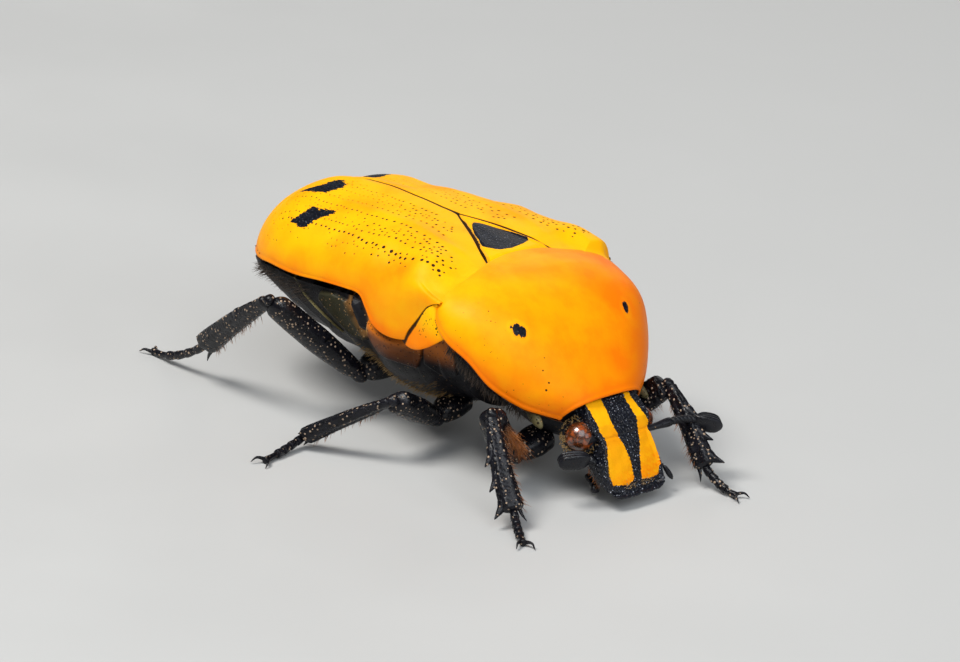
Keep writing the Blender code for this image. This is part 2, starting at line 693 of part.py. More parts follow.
def make_foot(kind, word):
    """Foot: five beads that come down to the floor and lie on it, with two claws at the end."""
    _, _, ankle, tip, _ = leg_frame(kind, word)
    start = ankle + (tip - ankle).normalized() * ANKLE_GAP
    lift = FOOT_BEAD / 2 - FOOT_SINK
    end = Vector((tip.x, tip.y, floor_under(tip.x) + lift))
    start.z = max(start.z, floor_under(start.x) + lift + 0.1)
    middle = start.lerp(end, 0.55)
    middle.z = floor_under(middle.x) + lift

    def place(step):
        """Point on the foot's curve."""
        return start * (1 - step) ** 2 + middle * (2 * step * (1 - step)) + end * step**2

    steps, sizes = foot_taper()
    foot = limb(f"foot_{kind}_{word}", [place(step) for step in steps], sizes, sizes, sides=8)
    forward = (end - middle).normalized()
    across = forward.cross(Vector((0, 0, 1))).normalized()
    claws = []
    for turn in (-1, 1):
        base = end - forward * 0.2 + across * (CLAW_ROOT_SPREAD * turn)
        claws.append(claw(base, forward, across * turn, lift * 0.6))
    combine(foot, claws)
    return cut(foot, Vector((0, 0, -FLOOR_DROP)), Vector((FLOOR_RISE, 0, -1)))


def make_feeler(word, side):
    """Feeler: a first joint, a short beaded stem and a club of three leaves lying together."""
    root, elbow, bend, club, end = [mirrored(point, side) for point in FEELERS[word]]
    stem = [root, root.lerp(elbow, 0.5), elbow, elbow.lerp(bend, 0.5), bend, bend.lerp(club, 0.5), club]
    feeler = limb(f"feeler_{word}", stem, FEELER_STEM, FEELER_STEM, sides=7)
    path = [club.lerp(end, step) for step, _ in CLUB_TAPER]
    widths = [CLUB_WIDTH * size for _, size in CLUB_TAPER]
    depths = [CLUB_DEPTH * size for _, size in CLUB_TAPER]
    return combine(feeler, [limb("club", path, widths, depths, sides=10)])


def make_palp(word, side):
    """Mouth palp: a short rod with a thicker last joint."""
    root, bend, end = [mirrored(point, side) for point in PALPS[word]]
    path = [root, root.lerp(bend, 0.6), bend, bend.lerp(end, 0.5), end]
    return limb(f"palp_{word}", path, PALP_STEM, PALP_STEM, sides=7)


def make_side_plate(word, side):
    """Side plate, slightly domed."""
    outer = [mirrored(point, side) for point in SIDE_PLATE]
    centre = sum(outer, Vector()) / len(outer)
    inward = Vector((0, -side * SIDE_PLATE_THICKNESS, 0))
    plate = bmesh.new()
    front = [plate.verts.new(p) for p in outer]
    inner = [p.lerp(Vector((centre.x, p.y, centre.z)), SIDE_PLATE_DRAFT) + inward for p in outer]
    back = [plate.verts.new(p) for p in inner]
    crown = plate.verts.new(centre + Vector((0, SIDE_PLATE_CROWN * side, 0)))
    deep = plate.verts.new(centre + inward)
    for i in range(len(front)):
        j = (i + 1) % len(front)
        plate.faces.new((front[i], front[j], crown))
        plate.faces.new((back[j], back[i], deep))
        plate.faces.new((front[j], front[i], back[i], back[j]))
    return new_object(f"side_plate_{word}", plate)


def hip(kind, side):
    """Rounded hip that a leg stands out from."""
    centre, size = HIPS[kind]
    made = ball("hip", Vector(), 1.0, rings=6, sides=10)
    for vertex in made.data.vertices:
        vertex.co = mirrored(centre, side) + Vector([a * b for a, b in zip(vertex.co, size)])
    return made


def finish_node(made, finish, stance):
    """Turns a node into metres, gives it its own material and stands it on the floor."""
    made.data.transform(Matrix.Scale(MM, 4))
    made.data.materials.clear()
    made.data.materials.append(material(f"{made.name}_finish", *finish))
    made.data.shade_smooth()
    made.data.set_sharp_from_angle(angle=math.radians(40))
    made.parent = stance


def make_chest():
    """The neck shield and fore chest with the front hips, hollowed in front for the head and the eyes."""
    chest = make_fore_chest()
    combine(chest, [hip("fore", side) for side in SIDES.values()])
    rooms = [ball("eye_room", eye_centre(side), EYE_RADIUS + GAP) for side in SIDES.values()]
    return combine(chest, [head_block("head_room", GAP)] + rooms, "DIFFERENCE")


def make_hind_body():
    """The hind chest with its hips, the belly and the tail plate."""
    trunk, belly, tail = make_trunk()
    combine(trunk, [hip(kind, side) for kind in LEG_KINDS[1:] for side in SIDES.values()])
    return trunk, belly, tail


def main():
    """Builds every node."""
    for old in list(bpy.data.objects):
        bpy.data.objects.remove(old)
    stance = make_stance()
    finish_node(make_chest(), YELLOW, stance)
    finish_node(make_head(), BLACK, stance)
    finish_node(make_scutellum(), BLACK, stance)
    for made in make_hind_body():
        finish_node(made, BLACK, stance)
    for word, side in SIDES.items():
        finish_node(make_elytron(word, side), YELLOW, stance)
        finish_node(ball(f"eye_{word}", eye_centre(side), EYE_RADIUS), BROWN, stance)
        finish_node(make_side_plate(word, side), ORANGE, stance)
        finish_node(make_feeler(word, side), BLACK, stance)
        finish_node(make_palp(word, side), BLACK, stance)
        for kind in LEG_KINDS:
            for make in (make_thigh, make_shin, make_foot):
                finish_node(make(kind, word), BLACK, stance)


main()
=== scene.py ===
"""A spotted fruit beetle in its live stance, drawn over its solid model.

Sizes are millimetres in the beetle's own axes: X forward, Y to its left and Z up, from the point where
the scutellum meets the neck shield. The stance then turns and lifts them into the model's frame.
"""

import logging
import math
from dataclasses import dataclass, field
from enum import Enum
from typing import Callable

import bpy
import numpy as np
from bpy.types import Material, Node, NodeSocket, NodeTree
from mathutils import Matrix, Vector
from mathutils.kdtree import KDTree


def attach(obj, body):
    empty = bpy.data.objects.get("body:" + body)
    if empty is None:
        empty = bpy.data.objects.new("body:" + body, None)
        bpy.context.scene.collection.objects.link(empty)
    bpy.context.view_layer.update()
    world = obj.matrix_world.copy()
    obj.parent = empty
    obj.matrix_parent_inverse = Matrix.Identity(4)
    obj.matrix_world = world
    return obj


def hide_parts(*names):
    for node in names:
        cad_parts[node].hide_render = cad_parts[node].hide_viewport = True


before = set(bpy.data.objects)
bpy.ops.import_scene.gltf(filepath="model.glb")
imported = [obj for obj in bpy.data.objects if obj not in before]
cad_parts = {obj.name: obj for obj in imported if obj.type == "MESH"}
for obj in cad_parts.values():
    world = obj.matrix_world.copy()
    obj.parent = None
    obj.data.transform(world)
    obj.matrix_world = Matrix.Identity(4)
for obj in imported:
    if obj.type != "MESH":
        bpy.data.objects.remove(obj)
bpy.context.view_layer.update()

LOG = logging.getLogger("beetle")
MM = 0.001
ROLL_ROWS = 6
Values = float | np.ndarray
Points = np.ndarray | tuple | list
Input = NodeSocket | float | tuple


class Side(Enum):
    """A side of the beetle. Its value is the way that Y runs."""

    RIGHT = -1
    LEFT = 1

    @property
    def word(self) -> str:
        """The side in the names of pieces and solids."""
        return self.name.lower()


class Kind(Enum):
    """A pair of legs."""

    FORE = "fore"
    MID = "mid"
    HIND = "hind"


class Slot(Enum):
    """The finishes that the record names."""

    BLACK = "black_shell"
    YELLOW = "yellow_shell"
    ORANGE = "orange_shell"
    EYE = "eye_brown"


@dataclass(frozen=True)
class Profile:
    """A smooth curve through (place, value) stations."""

    stations: tuple

    def __call__(self, at: Values) -> Values:
        """The curve's value at a place, or at an array of places.

        Args:
            at: a place, or an array of places.

        Returns:
            The value there.
        """
        places, values = np.array(self.stations, float).T
        at = np.asarray(at, float)
        count = len(places)
        low, high = np.maximum(np.arange(count) - 1, 0), np.minimum(np.arange(count) + 1, count - 1)
        slopes = (values[high] - values[low]) / (places[high] - places[low])
        first = np.clip(np.searchsorted(places, at) - 1, 0, count - 2)
        step = places[first + 1] - places[first]
        t = np.clip((at - places[first]) / step, 0, 1)
        rise = (1 + 2 * t) * (1 - t) ** 2 * values[first] + t**2 * (3 - 2 * t) * values[first + 1]
        return rise + t * (1 - t) * step * ((1 - t) * slopes[first] - t * slopes[first + 1])


@dataclass(frozen=True)
class Stance:
    """How the body stands: nose down by a slope, forward and up from the model's origin."""

    slope: float = 0.1
    forward: float = 4.164
    lift: float = 11.0

    def place(self, body: np.ndarray) -> np.ndarray:
        """Body millimetres to model metres.

        Args:
            body: points, in body millimetres.

        Returns:
            The points, in the model's metres.
        """
        length = math.hypot(1, self.slope)
        x, y, z = np.asarray(body, float).T
        along = (x + self.slope * z) / length + self.forward
        up = (z - self.slope * x + self.lift) / length
        return np.stack((along, y, up), axis=-1) * MM

    def floor(self, x: Values) -> Values:
        """Height of the floor under a place, in body millimetres."""
        return self.slope * x - self.lift


def smoothstep(low: Values, high: Values, value: Values) -> Values:
    """A soft step from 0 at low to 1 at high."""
    t = np.clip((value - low) / (high - low), 0, 1)
    return t * t * (3 - 2 * t)


def hump(value: Values, middle: Values, spread: float) -> Values:
    """A rounded hump of height 1."""
    return np.exp(-(((value - middle) / spread) ** 2))


def unit(vectors: Points) -> np.ndarray:
    """Vectors at length 1."""
    vectors = np.asarray(vectors, float)
    return vectors / np.maximum(np.linalg.norm(vectors, axis=-1, keepdims=True), 1e-12)


def drift(points: np.ndarray, scale: float, seed: int) -> np.ndarray:
    """Smooth unevenness between about -1 and 1, with features of about scale millimetres.

    Args:
        points: the places.
        scale: size of the features, in millimetres.
        seed: seed of the draw.

    Returns:
        The unevenness at each place.
    """
    rng = np.random.default_rng(seed)
    total = np.zeros(points.shape[:-1])
    for _ in range(9):
        way = unit(rng.normal(size=3)) * rng.uniform(0.6, 1.7) / scale
        total += np.sin(points @ way * 2 * math.pi + rng.uniform(0, 2 * math.pi))
    return total / 4.0


def outline_depth(x: Values, y: Values, corners: Points) -> np.ndarray:
    """Distance in from an outline: positive inside it and negative outside.

    Args:
        x: first coordinate of the places.
        y: their second one.
        corners: the outline's corners, in order.

    Returns:
        The distances.
    """
    corners = np.asarray(corners, float)
    nearest = np.full(np.shape(x), np.inf)
    inside = np.zeros(np.shape(x), bool)
    for (ax, ay), (bx, by) in zip(corners, np.roll(corners, -1, axis=0)):
        ex, ey = bx - ax, by - ay
        t = np.clip(((x - ax) * ex + (y - ay) * ey) / (ex * ex + ey * ey), 0, 1)
        nearest = np.minimum(nearest, np.hypot(x - ax - t * ex, y - ay - t * ey))
        rise = ey if abs(ey) > 1e-9 else 1e-9
        inside ^= ((ay > y) != (by > y)) & (x < ax + (y - ay) * ex / rise)
    return np.where(inside, nearest, -nearest)


@dataclass
class Sheet:
    """A surface: points, faces of four and of three corners, and named values at the points."""

    points: np.ndarray
    quads: np.ndarray
    triangles: np.ndarray = field(default_factory=lambda: np.zeros((0, 3), int))
    masks: dict = field(default_factory=dict)

    def outward(self, inside: Points | None = None) -> "Sheet":
        """This sheet with its faces turned away from a point inside it.

        Args:
            inside: the point, or None for the middle of the sheet's points.

        Returns:
            This sheet.
        """
        faces = self.points[self.quads]
        middle = faces.mean(axis=1)
        normal = np.cross(faces[:, 2] - faces[:, 0], faces[:, 3] - faces[:, 1])
        centre = self.points.mean(axis=0) if inside is None else np.asarray(inside, float)
        if np.einsum("ij,ij->", normal, middle - centre) < 0:
            self.quads = self.quads[:, ::-1]
            self.triangles = self.triangles[:, ::-1]
        return self


def joined(sheets: list) -> Sheet:
    """Several sheets as one.

    Args:
        sheets: the sheets.

    Returns:
        One sheet with all their points, faces and values.
    """
    names = sorted({name for sheet in sheets for name in sheet.masks})
    starts = np.cumsum([0] + [len(sheet.points) for sheet in sheets])
    masks = {
        name: np.concatenate([sheet.masks.get(name, np.zeros(len(sheet.points))) for sheet in sheets])
        for name in names
    }
    return Sheet(
        np.concatenate([sheet.points for sheet in sheets]),
        np.concatenate([sheet.quads + start for sheet, start in zip(sheets, starts)]),
        np.concatenate([sheet.triangles + start for sheet, start in zip(sheets, starts)]),
        masks,
    )


def grid_sheet(
    points: np.ndarray, around: bool = False, caps: tuple = (False, False), masks: dict | None = None
) -> Sheet:
    """A sheet over a grid of points.

    Args:
        points: rows by columns by 3.
        around: whether the last column meets the first.
        caps: whether the first and the last row are closed to a point in their middle.
        masks: values at the grid's points.

    Returns:
        The sheet.
    """
    rows, columns = points.shape[:2]
    index = np.arange(rows * columns).reshape(rows, columns)
    wide = np.concatenate((index, index[:, :1]), axis=1) if around else index
    quads = np.stack((wide[:-1, :-1], wide[1:, :-1], wide[1:, 1:], wide[:-1, 1:]), axis=-1).reshape(-1, 4)
    flat = points.reshape(-1, 3)
    masks = masks or {}
    values = {name: np.broadcast_to(value, (rows, columns)).reshape(-1) for name, value in masks.items()}
    fans = []
    for row, turn, wanted in ((0, 1, caps[0]), (rows - 1, -1, caps[1])):
        if not wanted:
            continue
        ring = wide[row]
        tip = np.full(len(ring) - 1, len(flat))
        fans.append(np.stack((tip, ring[:-1], ring[1:])[::turn], axis=-1))
        flat = np.concatenate((flat, points[row].mean(axis=0)[None]))
        values = {name: np.append(value, value[index[row]].mean()) for name, value in values.items()}
    triangles = np.concatenate(fans) if fans else np.zeros((0, 3), int)
    return Sheet(flat, quads, triangles, values)


def grid_normals(points: np.ndarray, inside: Points, around: bool = False) -> np.ndarray:
    """Unit normals of a grid, away from a point inside it.

    Args:
        points: the grid.
        inside: the point inside it.
        around: whether the last column meets the first.

    Returns:
        A normal for each point.
    """
    if around:
        wrapped = np.concatenate((points[:, -1:], points, points[:, :1]), axis=1)
        across = np.gradient(wrapped, axis=1)[:, 1:-1]
    else:
        across = np.gradient(points, axis=1)
    normal = unit(np.cross(np.gradient(points, axis=0), across))
    if np.sum(normal * (points - np.asarray(inside, float))) < 0:
        normal = -normal
    return normal


def arc_lengths(points: np.ndarray, axis: int) -> np.ndarray:
    """Length along a grid's rows or columns from their start.

    Args:
        points: the grid.
        axis: the grid's axis to go along.

    Returns:
        The length at each point.
    """
    steps = np.linalg.norm(np.diff(points, axis=axis), axis=-1)
    padding = [(0, 0), (0, 0)]
    padding[axis] = (1, 0)
    return np.cumsum(np.pad(steps, padding), axis=axis)


def lipped(points: np.ndarray, normals: np.ndarray, radius: float, depth: float, edges: str) -> tuple:
    """A grid with chosen edges rolled under, so that a thin sheet shows a rounded edge.

    Args:
        points: the grid.
        normals: its normals.
        radius: radius of the rolled edge.
        depth: how far the sheet goes on inwards behind the roll.
        edges: any of "t" (first row), "b" (last row), "l" (first column) and "r" (last column).

    Returns:
        The larger grid, and how many rows and columns were added before the first ones.
    """
    before = [0, 0]
    for edge in edges:
        axis = 0 if edge in "tb" else 1
        grid = np.swapaxes(points, 0, axis)
        normal = np.swapaxes(normals, 0, axis)
        if edge in "tl":
            grid, normal = grid[::-1], normal[::-1]
            before[axis] += ROLL_ROWS
        out = unit(grid[-1] - grid[-3])
        rows = []
        for turn in np.linspace(0.2, 1, ROLL_ROWS - 1) * math.pi:
            rows.append(grid[-1] + radius * (out * math.sin(turn) - normal[-1] * (1 - math.cos(turn))))
        rows.append(rows[-1] - out * depth)
        grid = np.concatenate((grid, np.stack(rows)))
        normal = np.concatenate((normal, np.repeat(normal[-1:], ROLL_ROWS, axis=0)))
        if edge in "tl":
            grid, normal = grid[::-1], normal[::-1]
        points, normals = np.swapaxes(grid, 0, axis), np.swapaxes(normal, 0, axis)
    return points, tuple(before)


def padded(mask: np.ndarray, shape: tuple, before: tuple) -> np.ndarray:
    """A grid's values spread to the larger grid that lipped() makes.

    Args:
        mask: the values.
        shape: the larger grid's shape.
        before: rows and columns added before the first ones.

    Returns:
        Values for the larger grid.
    """
    rows, columns = mask.shape
    widths = ((before[0], shape[0] - rows - before[0]), (before[1], shape[1] - columns - before[1]))
    return np.pad(mask, widths, mode="edge")


@dataclass
class Dimples:
    """Round punctures pressed into a grid."""

    centres: list = field(default_factory=list)
    radii: list = field(default_factory=list)
    depths: list = field(default_factory=list)
    darkness: list = field(default_factory=list)

    def add(self, centre: Points, radius: float, depth: float, dark: float) -> None:
        """Plans one puncture at a point on or near the surface.

        Args:
            centre: its place.
            radius: its radius.
            depth: its depth.
            dark: how dark it is, from 0 to 1.
        """
        self.centres.append(centre)
        self.radii.append(radius)
        self.depths.append(depth)
        self.darkness.append(dark)

    def press(self, points: np.ndarray, normals: np.ndarray) -> tuple:
        """Presses all the punctures.

        Args:
            points: the grid.
            normals: its normals.

        Returns:
            The new grid and a mask that is 1 in the middle of a dark puncture.
        """
        flat = points.reshape(-1, 3)
        tree = KDTree(len(flat))
        for index, point in enumerate(flat):
            tree.insert(point, index)
        tree.balance()
        sunk = np.zeros(len(flat))
        mask = np.zeros(len(flat))
        for centre, radius, depth, dark in zip(self.centres, self.radii, self.depths, self.darkness):
            seat = tree.find(centre)[0]
            for _, index, distance in tree.find_range(seat, radius * 1.9):
                fall = math.exp(-((distance / radius) ** 2) * 1.1)
                sunk[index] = max(sunk[index], depth * fall)
                mask[index] = max(mask[index], dark * fall)
        moved = flat - normals.reshape(-1, 3) * sunk[:, None]
        return moved.reshape(points.shape), mask.reshape(points.shape[:2])


def tube(
    centres: Points, widths: np.ndarray, depths: np.ndarray, wide: Points, around: int = 24,
    power: float = 2.0
) -> np.ndarray:
    """Rings along a path.

    Args:
        centres: the path's points.
        widths: full width at each point, along the wide direction.
        depths: full depth at each point, square to it.
        wide: the wide direction, one or one for each point.
        around: points in a ring.
        power: 2 for round, more for squarer.

    Returns:
        A grid of points, closed around.
    """
    centres = np.asarray(centres, float)
    ahead = unit(np.gradient(centres, axis=0))
    wide = np.broadcast_to(np.asarray(wide, float), centres.shape)
    wide = unit(wide - ahead * np.sum(wide * ahead, axis=1, keepdims=True))
    deep = np.cross(ahead, wide)
    turn = np.linspace(0, 2 * math.pi, around, endpoint=False)
    across = np.sign(np.cos(turn)) * np.abs(np.cos(turn)) ** (2 / power)
    over = np.sign(np.sin(turn)) * np.abs(np.sin(turn)) ** (2 / power)
    half_width = np.asarray(widths, float)[:, None, None] / 2
    half_depth = np.asarray(depths, float)[:, None, None] / 2
    ring = wide[:, None] * across[None, :, None] * half_width
    ring = ring + deep[:, None] * over[None, :, None] * half_depth
    return centres[:, None] + ring


def path_through(stations: Points, count: int) -> np.ndarray:
    """Points evenly along a smooth path through stations.

    Args:
        stations: the stations.
        count: number of points.

    Returns:
        The points.
    """
    stations = np.asarray(stations, float)
    steps = np.linalg.norm(np.diff(stations, axis=0), axis=1)
    places = np.concatenate(([0], np.cumsum(steps)))
    at = np.linspace(0, places[-1], count)
    return np.stack([Profile(tuple(zip(places, stations[:, axis])))(at) for axis in range(3)], axis=-1)


def blunt(share: np.ndarray, start: float, end: float) -> np.ndarray:
    """Rounds a rod's two ends: 0 at the very ends, 1 past the given shares of its length.

    Args:
        share: places along the rod, from 0 to 1.
        start: share of the first end.
        end: share of the last end.

    Returns:
        How much of the width is left at each place.
    """
    first = np.clip(share / max(start, 1e-6), 0, 1)
    last = np.clip((1 - share) / max(end, 1e-6), 0, 1)
    return np.sqrt(np.maximum(1 - (1 - first) ** 2, 0)) * np.sqrt(np.maximum(1 - (1 - last) ** 2, 0))


def rod(
    stations: Points, sizes: tuple, wide: Points = (0.2, 0.3, 1), flat: float = 1.0, rows: int = 24,
    around: int = 16, power: float = 2.0, ends: tuple = (0.06, 0.06)
) -> Sheet:
    """A closed rounded rod along a smooth path.

    Args:
        stations: the path's points.
        sizes: (share of the length, full width) stations.
        wide: the direction the width is measured in.
        flat: depth for each unit of width.
        rows: rings along it.
        around: points in a ring.
        power: 2 for round, more for squarer.
        ends: shares of the length over which the two ends are rounded.

    Returns:
        The rod.
    """
    share = (1 - np.cos(np.linspace(0, math.pi, rows))) / 2 * 0.35 + np.linspace(0, 1, rows) * 0.65
    path = path_through(stations, 200)
    at = share * 199
    low = np.minimum(at.astype(int), 198)
    centres = path[low] + (path[low + 1] - path[low]) * (at - low)[:, None]
    widths = np.maximum(Profile(tuple(sizes))(share) * blunt(share, *ends), 0.01)
    grid = tube(centres, widths, widths * flat, wide, around, power)
    return grid_sheet(grid, around=True, caps=(True, True)).outward(centres.mean(axis=0))


def ball(
    centre: Points, radii: Points, rows: int = 24, around: int = 32, axes: np.ndarray | None = None
) -> Sheet:
    """A rounded body with three radii, along the given axes.

    Args:
        centre: its middle.
        radii: its three radii.
        rows: rings from end to end.
        around: points in a ring.
        axes: directions of the radii, or None for the body's own axes.

    Returns:
        The body's sheet.
    """
    axes = np.eye(3) if axes is None else unit(axes)
    turn = np.linspace(0.02, math.pi - 0.02, rows)[:, None]
    round_about = np.linspace(0, 2 * math.pi, around, endpoint=False)[None]
    local = np.stack(
        (
            np.sin(turn) * np.cos(round_about), np.sin(turn) * np.sin(round_about),
            np.cos(turn) + 0 * round_about
        ),
        -1
    )
    points = np.asarray(centre, float) + (local * np.asarray(radii, float)) @ axes
    return grid_sheet(points, around=True, caps=(True, True)).outward(centre)


@dataclass
class Bench:
    """Turns sheets into dressed pieces of the model, hung under the root, with the solids that they stand
    for hidden.
    """

    stance: Stance

    def piece(
        self, name: str, sheet: Sheet, material: Material, nodes: list, slot: Slot
    ) -> bpy.types.Object:
        """Makes one piece.

        Args:
            name: its name.
            sheet: its surface, in body millimetres.
            material: its finish.
            nodes: the solid nodes that it stands for.
            slot: the record's finish that it belongs to; not used.

        Returns:
            The new object.
        """
        mesh = bpy.data.meshes.new(name)
        faces = sheet.quads.tolist() + sheet.triangles.tolist()
        mesh.from_pydata(self.stance.place(sheet.points), [], faces, shade_flat=False)
        place = mesh.attributes.new("body_mm", "FLOAT_VECTOR", "POINT")
        place.data.foreach_set("vector", sheet.points.astype(np.float32).ravel())
        for mask, values in sheet.masks.items():
            layer = mesh.attributes.new(mask, "FLOAT", "POINT")
            layer.data.foreach_set("value", np.asarray(values, np.float32))
        mesh.materials.append(material)
        made = bpy.data.objects.new(name, mesh)
        bpy.context.scene.collection.objects.link(made)
        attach(made, "root")
        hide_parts(*nodes)
        LOG.info("%s: %d faces", name, len(faces))
        return made


class Graph:
    """Adds shader nodes to a material's or a group's tree."""

    def __init__(self, tree: NodeTree) -> None:
        """Starts on an empty tree."""
        self.tree = tree
        tree.nodes.clear()

    def feed(self, socket: NodeSocket, value: Input) -> None:
        """Links a socket, or sets its value.

        Args:
            socket: the input.
            value: a socket to link to it, or its value.
        """
        if isinstance(value, NodeSocket):
            self.tree.links.new(value, socket)
        else:
            socket.default_value = value

    def node(self, kind: str, inputs: dict | None = None, **settings) -> Node:
        """Adds a node with its settings and inputs.

        Args:
            kind: the node's type.
            inputs: what each input is fed.
            settings: the node's own settings, by name.

        Returns:
            The node.
        """
        made = self.tree.nodes.new(kind)
        for name, value in settings.items():
            setattr(made, name, value)
        for name, value in (inputs or {}).items():
            self.feed(made.inputs[name], value)
        return made

    def maths(self, operation: str, *values: Input, clamp: bool = False) -> NodeSocket:
        """The result of a sum on numbers."""
        inputs = dict(enumerate(values))
        return self.node("ShaderNodeMath", inputs, operation=operation, use_clamp=clamp).outputs[0]

    def plus(self, first: Input, second: Input, share: Input = 1.0, clamp: bool = False) -> NodeSocket:
        """The first value plus a share of the second."""
        return self.maths("ADD", first, self.maths("MULTIPLY", second, share), clamp=clamp)

    def group(self, tree: NodeTree, **inputs: Input) -> Node:
        """An effect, placed with its own inputs."""
        return self.node("ShaderNodeGroup", inputs, node_tree=tree)

    def vectors(self, operation: str, *values: Input) -> NodeSocket:
        """The result of a sum on vectors."""
        return self.node("ShaderNodeVectorMath", dict(enumerate(values)), operation=operation).outputs[0]

    def step(
        self, value: Input, low: float, high: float, start: float = 0.0, end: float = 1.0
    ) -> NodeSocket:
        """A soft step between two values."""
        inputs = {"Value": value, "From Min": low, "From Max": high, "To Min": start, "To Max": end}
        return self.node("ShaderNodeMapRange", inputs, interpolation_type="SMOOTHSTEP").outputs["Result"]

    def blend(self, share: Input, first: Input, second: Input) -> NodeSocket:
        """A colour between two colours.

        Args:
            share: how much of the second one.
            first: the first colour.
            second: the second colour.

        Returns:
            The colour.
        """
        made = self.node("ShaderNodeMix", data_type="RGBA")
        for index, value in ((0, share), (6, first), (7, second)):
            self.feed(made.inputs[index], value)
        return made.outputs[2]

    def noise(self, place: Input, scale: float, detail: float = 3.0, rough: float = 0.55) -> NodeSocket:
        """Cloudy unevenness between 0 and 1."""
        inputs = {"Vector": place, "Scale": scale, "Detail": detail, "Roughness": rough}
        return self.node("ShaderNodeTexNoise", inputs).outputs["Fac"]

    def cells(self, place: Input, scale: Input, feature: str = "F1", random: float = 1.0) -> Node:
        """Cells around scattered points."""
        inputs = {"Vector": place, "Scale": scale, "Randomness": random}
        return self.node("ShaderNodeTexVoronoi", inputs, feature=feature)

    def place(self) -> NodeSocket:
        """The body place, in millimetres."""
        return self.node("ShaderNodeAttribute", attribute_name="body_mm").outputs["Vector"]

    def mask(self, name: str) -> NodeSocket:
        """A named value of the surface."""
        return self.node("ShaderNodeAttribute", attribute_name=name).outputs["Fac"]


def effect(name: str, inputs: dict, outputs: dict, draw: Callable) -> NodeTree:
    """A shader node group, made once.

    Args:
        name: the group's name.
        inputs: names and kinds of its inputs.
        outputs: names and kinds of its outputs.
        draw: called with the graph and the inputs, and gives the outputs by name.

    Returns:
        The group.
    """
    if name in bpy.data.node_groups:
        return bpy.data.node_groups[name]
    group = bpy.data.node_groups.new(name, "ShaderNodeTree")
    for label, kind in inputs.items():
        group.interface.new_socket(label, in_out="INPUT", socket_type=f"NodeSocket{kind}")
    for label, kind in outputs.items():
        group.interface.new_socket(label, in_out="OUTPUT", socket_type=f"NodeSocket{kind}")
    graph = Graph(group)
    entry = graph.node("NodeGroupInput")
    leave = graph.node("NodeGroupOutput")
    results = draw(graph, {label: entry.outputs[label] for label in inputs})
    for label, value in results.items():
        graph.feed(leave.inputs[label], value)
    return group


def ragged_edge() -> NodeTree:
    """Effect: a marking with a ragged, finely toothed edge, from the depth inside its outline."""

    def draw(graph: Graph, given: dict) -> dict:
        """The group's nodes.

        Args:
            graph: draws the nodes.
            given: the group's inputs, by name.

        Returns:
            The group's outputs, by name.
        """
        long_way = graph.vectors("MULTIPLY", given["Place"], (0.8, 4.2, 1.6))
        teeth = graph.noise(long_way, 1.9, 2.0)
        crumbs = graph.noise(given["Place"], 9.0, 2.0)
        shift = graph.plus(graph.maths("MULTIPLY", teeth, 0.75), crumbs, 0.25)
        shift = graph.maths("MULTIPLY", graph.maths("SUBTRACT", shift, 0.5), given["Raggedness"])
        depth = graph.maths("ADD", given["Depth"], shift)
        return {"Mask": graph.step(depth, -0.012, 0.012)}

    inputs = {"Place": "Vector", "Depth": "Float", "Raggedness": "Float"}
    return effect("ragged edge", inputs, {"Mask": "Float"}, draw)


def scattered_pits() -> NodeTree:
    """Effect: small round pits with bare shell between them."""

    def draw(graph: Graph, given: dict) -> dict:
        """The group's nodes.

        Args:
            graph: draws the nodes.
            given: the group's inputs, by name.

        Returns:
            The group's outputs, by name.
        """
        cells = graph.cells(given["Place"], given["Scale"])
        chance = graph.node("ShaderNodeSeparateColor", {0: cells.outputs["Color"]}).outputs[0]
        present = graph.maths("LESS_THAN", chance, given["Share"])
        size = graph.maths("MULTIPLY", given["Size"], graph.plus(0.6, chance, 0.8))
        near = graph.maths("DIVIDE", cells.outputs["Distance"], size)
        pit = graph.step(near, 0.5, 1.0, 1.0, 0.0)
        return {"Mask": graph.maths("MULTIPLY", pit, present)}

    inputs = {"Place": "Vector", "Scale": "Float", "Size": "Float", "Share": "Float"}
    return effect("scattered pits", inputs, {"Mask": "Float"}, draw)


def fine_grain() -> NodeTree:
    """Effect: the very fine unevenness of hard shell, as a height."""

    def draw(graph: Graph, given: dict) -> dict:
        """The group's nodes.

        Args:
            graph: draws the nodes.
            given: the group's inputs, by name.

        Returns:
            The group's outputs, by name.
        """
        grain = graph.noise(given["Place"], 22.0, 3.0, 0.6)
        swell = graph.noise(given["Place"], 2.2, 2.0)
        height = graph.plus(graph.maths("MULTIPLY", grain, 0.5), swell, 0.9)
        return {"Height": height, "Cloud": graph.noise(given["Place"], 0.7, 4.0, 0.6)}

    return effect("fine grain", {"Place": "Vector"}, {"Height": "Float", "Cloud": "Float"}, draw)


@dataclass(frozen=True)
class Finish:
    """What all finishes share: a name and a shader whose fixed values are set on it."""

    name: str

    def start(self) -> tuple:
        """A new material, its graph and its shader."""
        material = bpy.data.materials.new(self.name)
        material.use_nodes = True
        graph = Graph(material.node_tree)
        shader = graph.node("ShaderNodeBsdfPrincipled")
        output = graph.node("ShaderNodeOutputMaterial", {"Surface": shader.outputs[0]})
        output.is_active_output = True
        return material, graph, shader

    def bump(self, graph: Graph, shader: Node, height: Input, depth_mm: float) -> None:
        """Gives the shader a fine relief."""
        inputs = {"Height": height, "Distance": depth_mm * MM, "Strength": 1.0}
        graph.feed(shader.inputs["Normal"], graph.node("ShaderNodeBump", inputs).outputs[0])


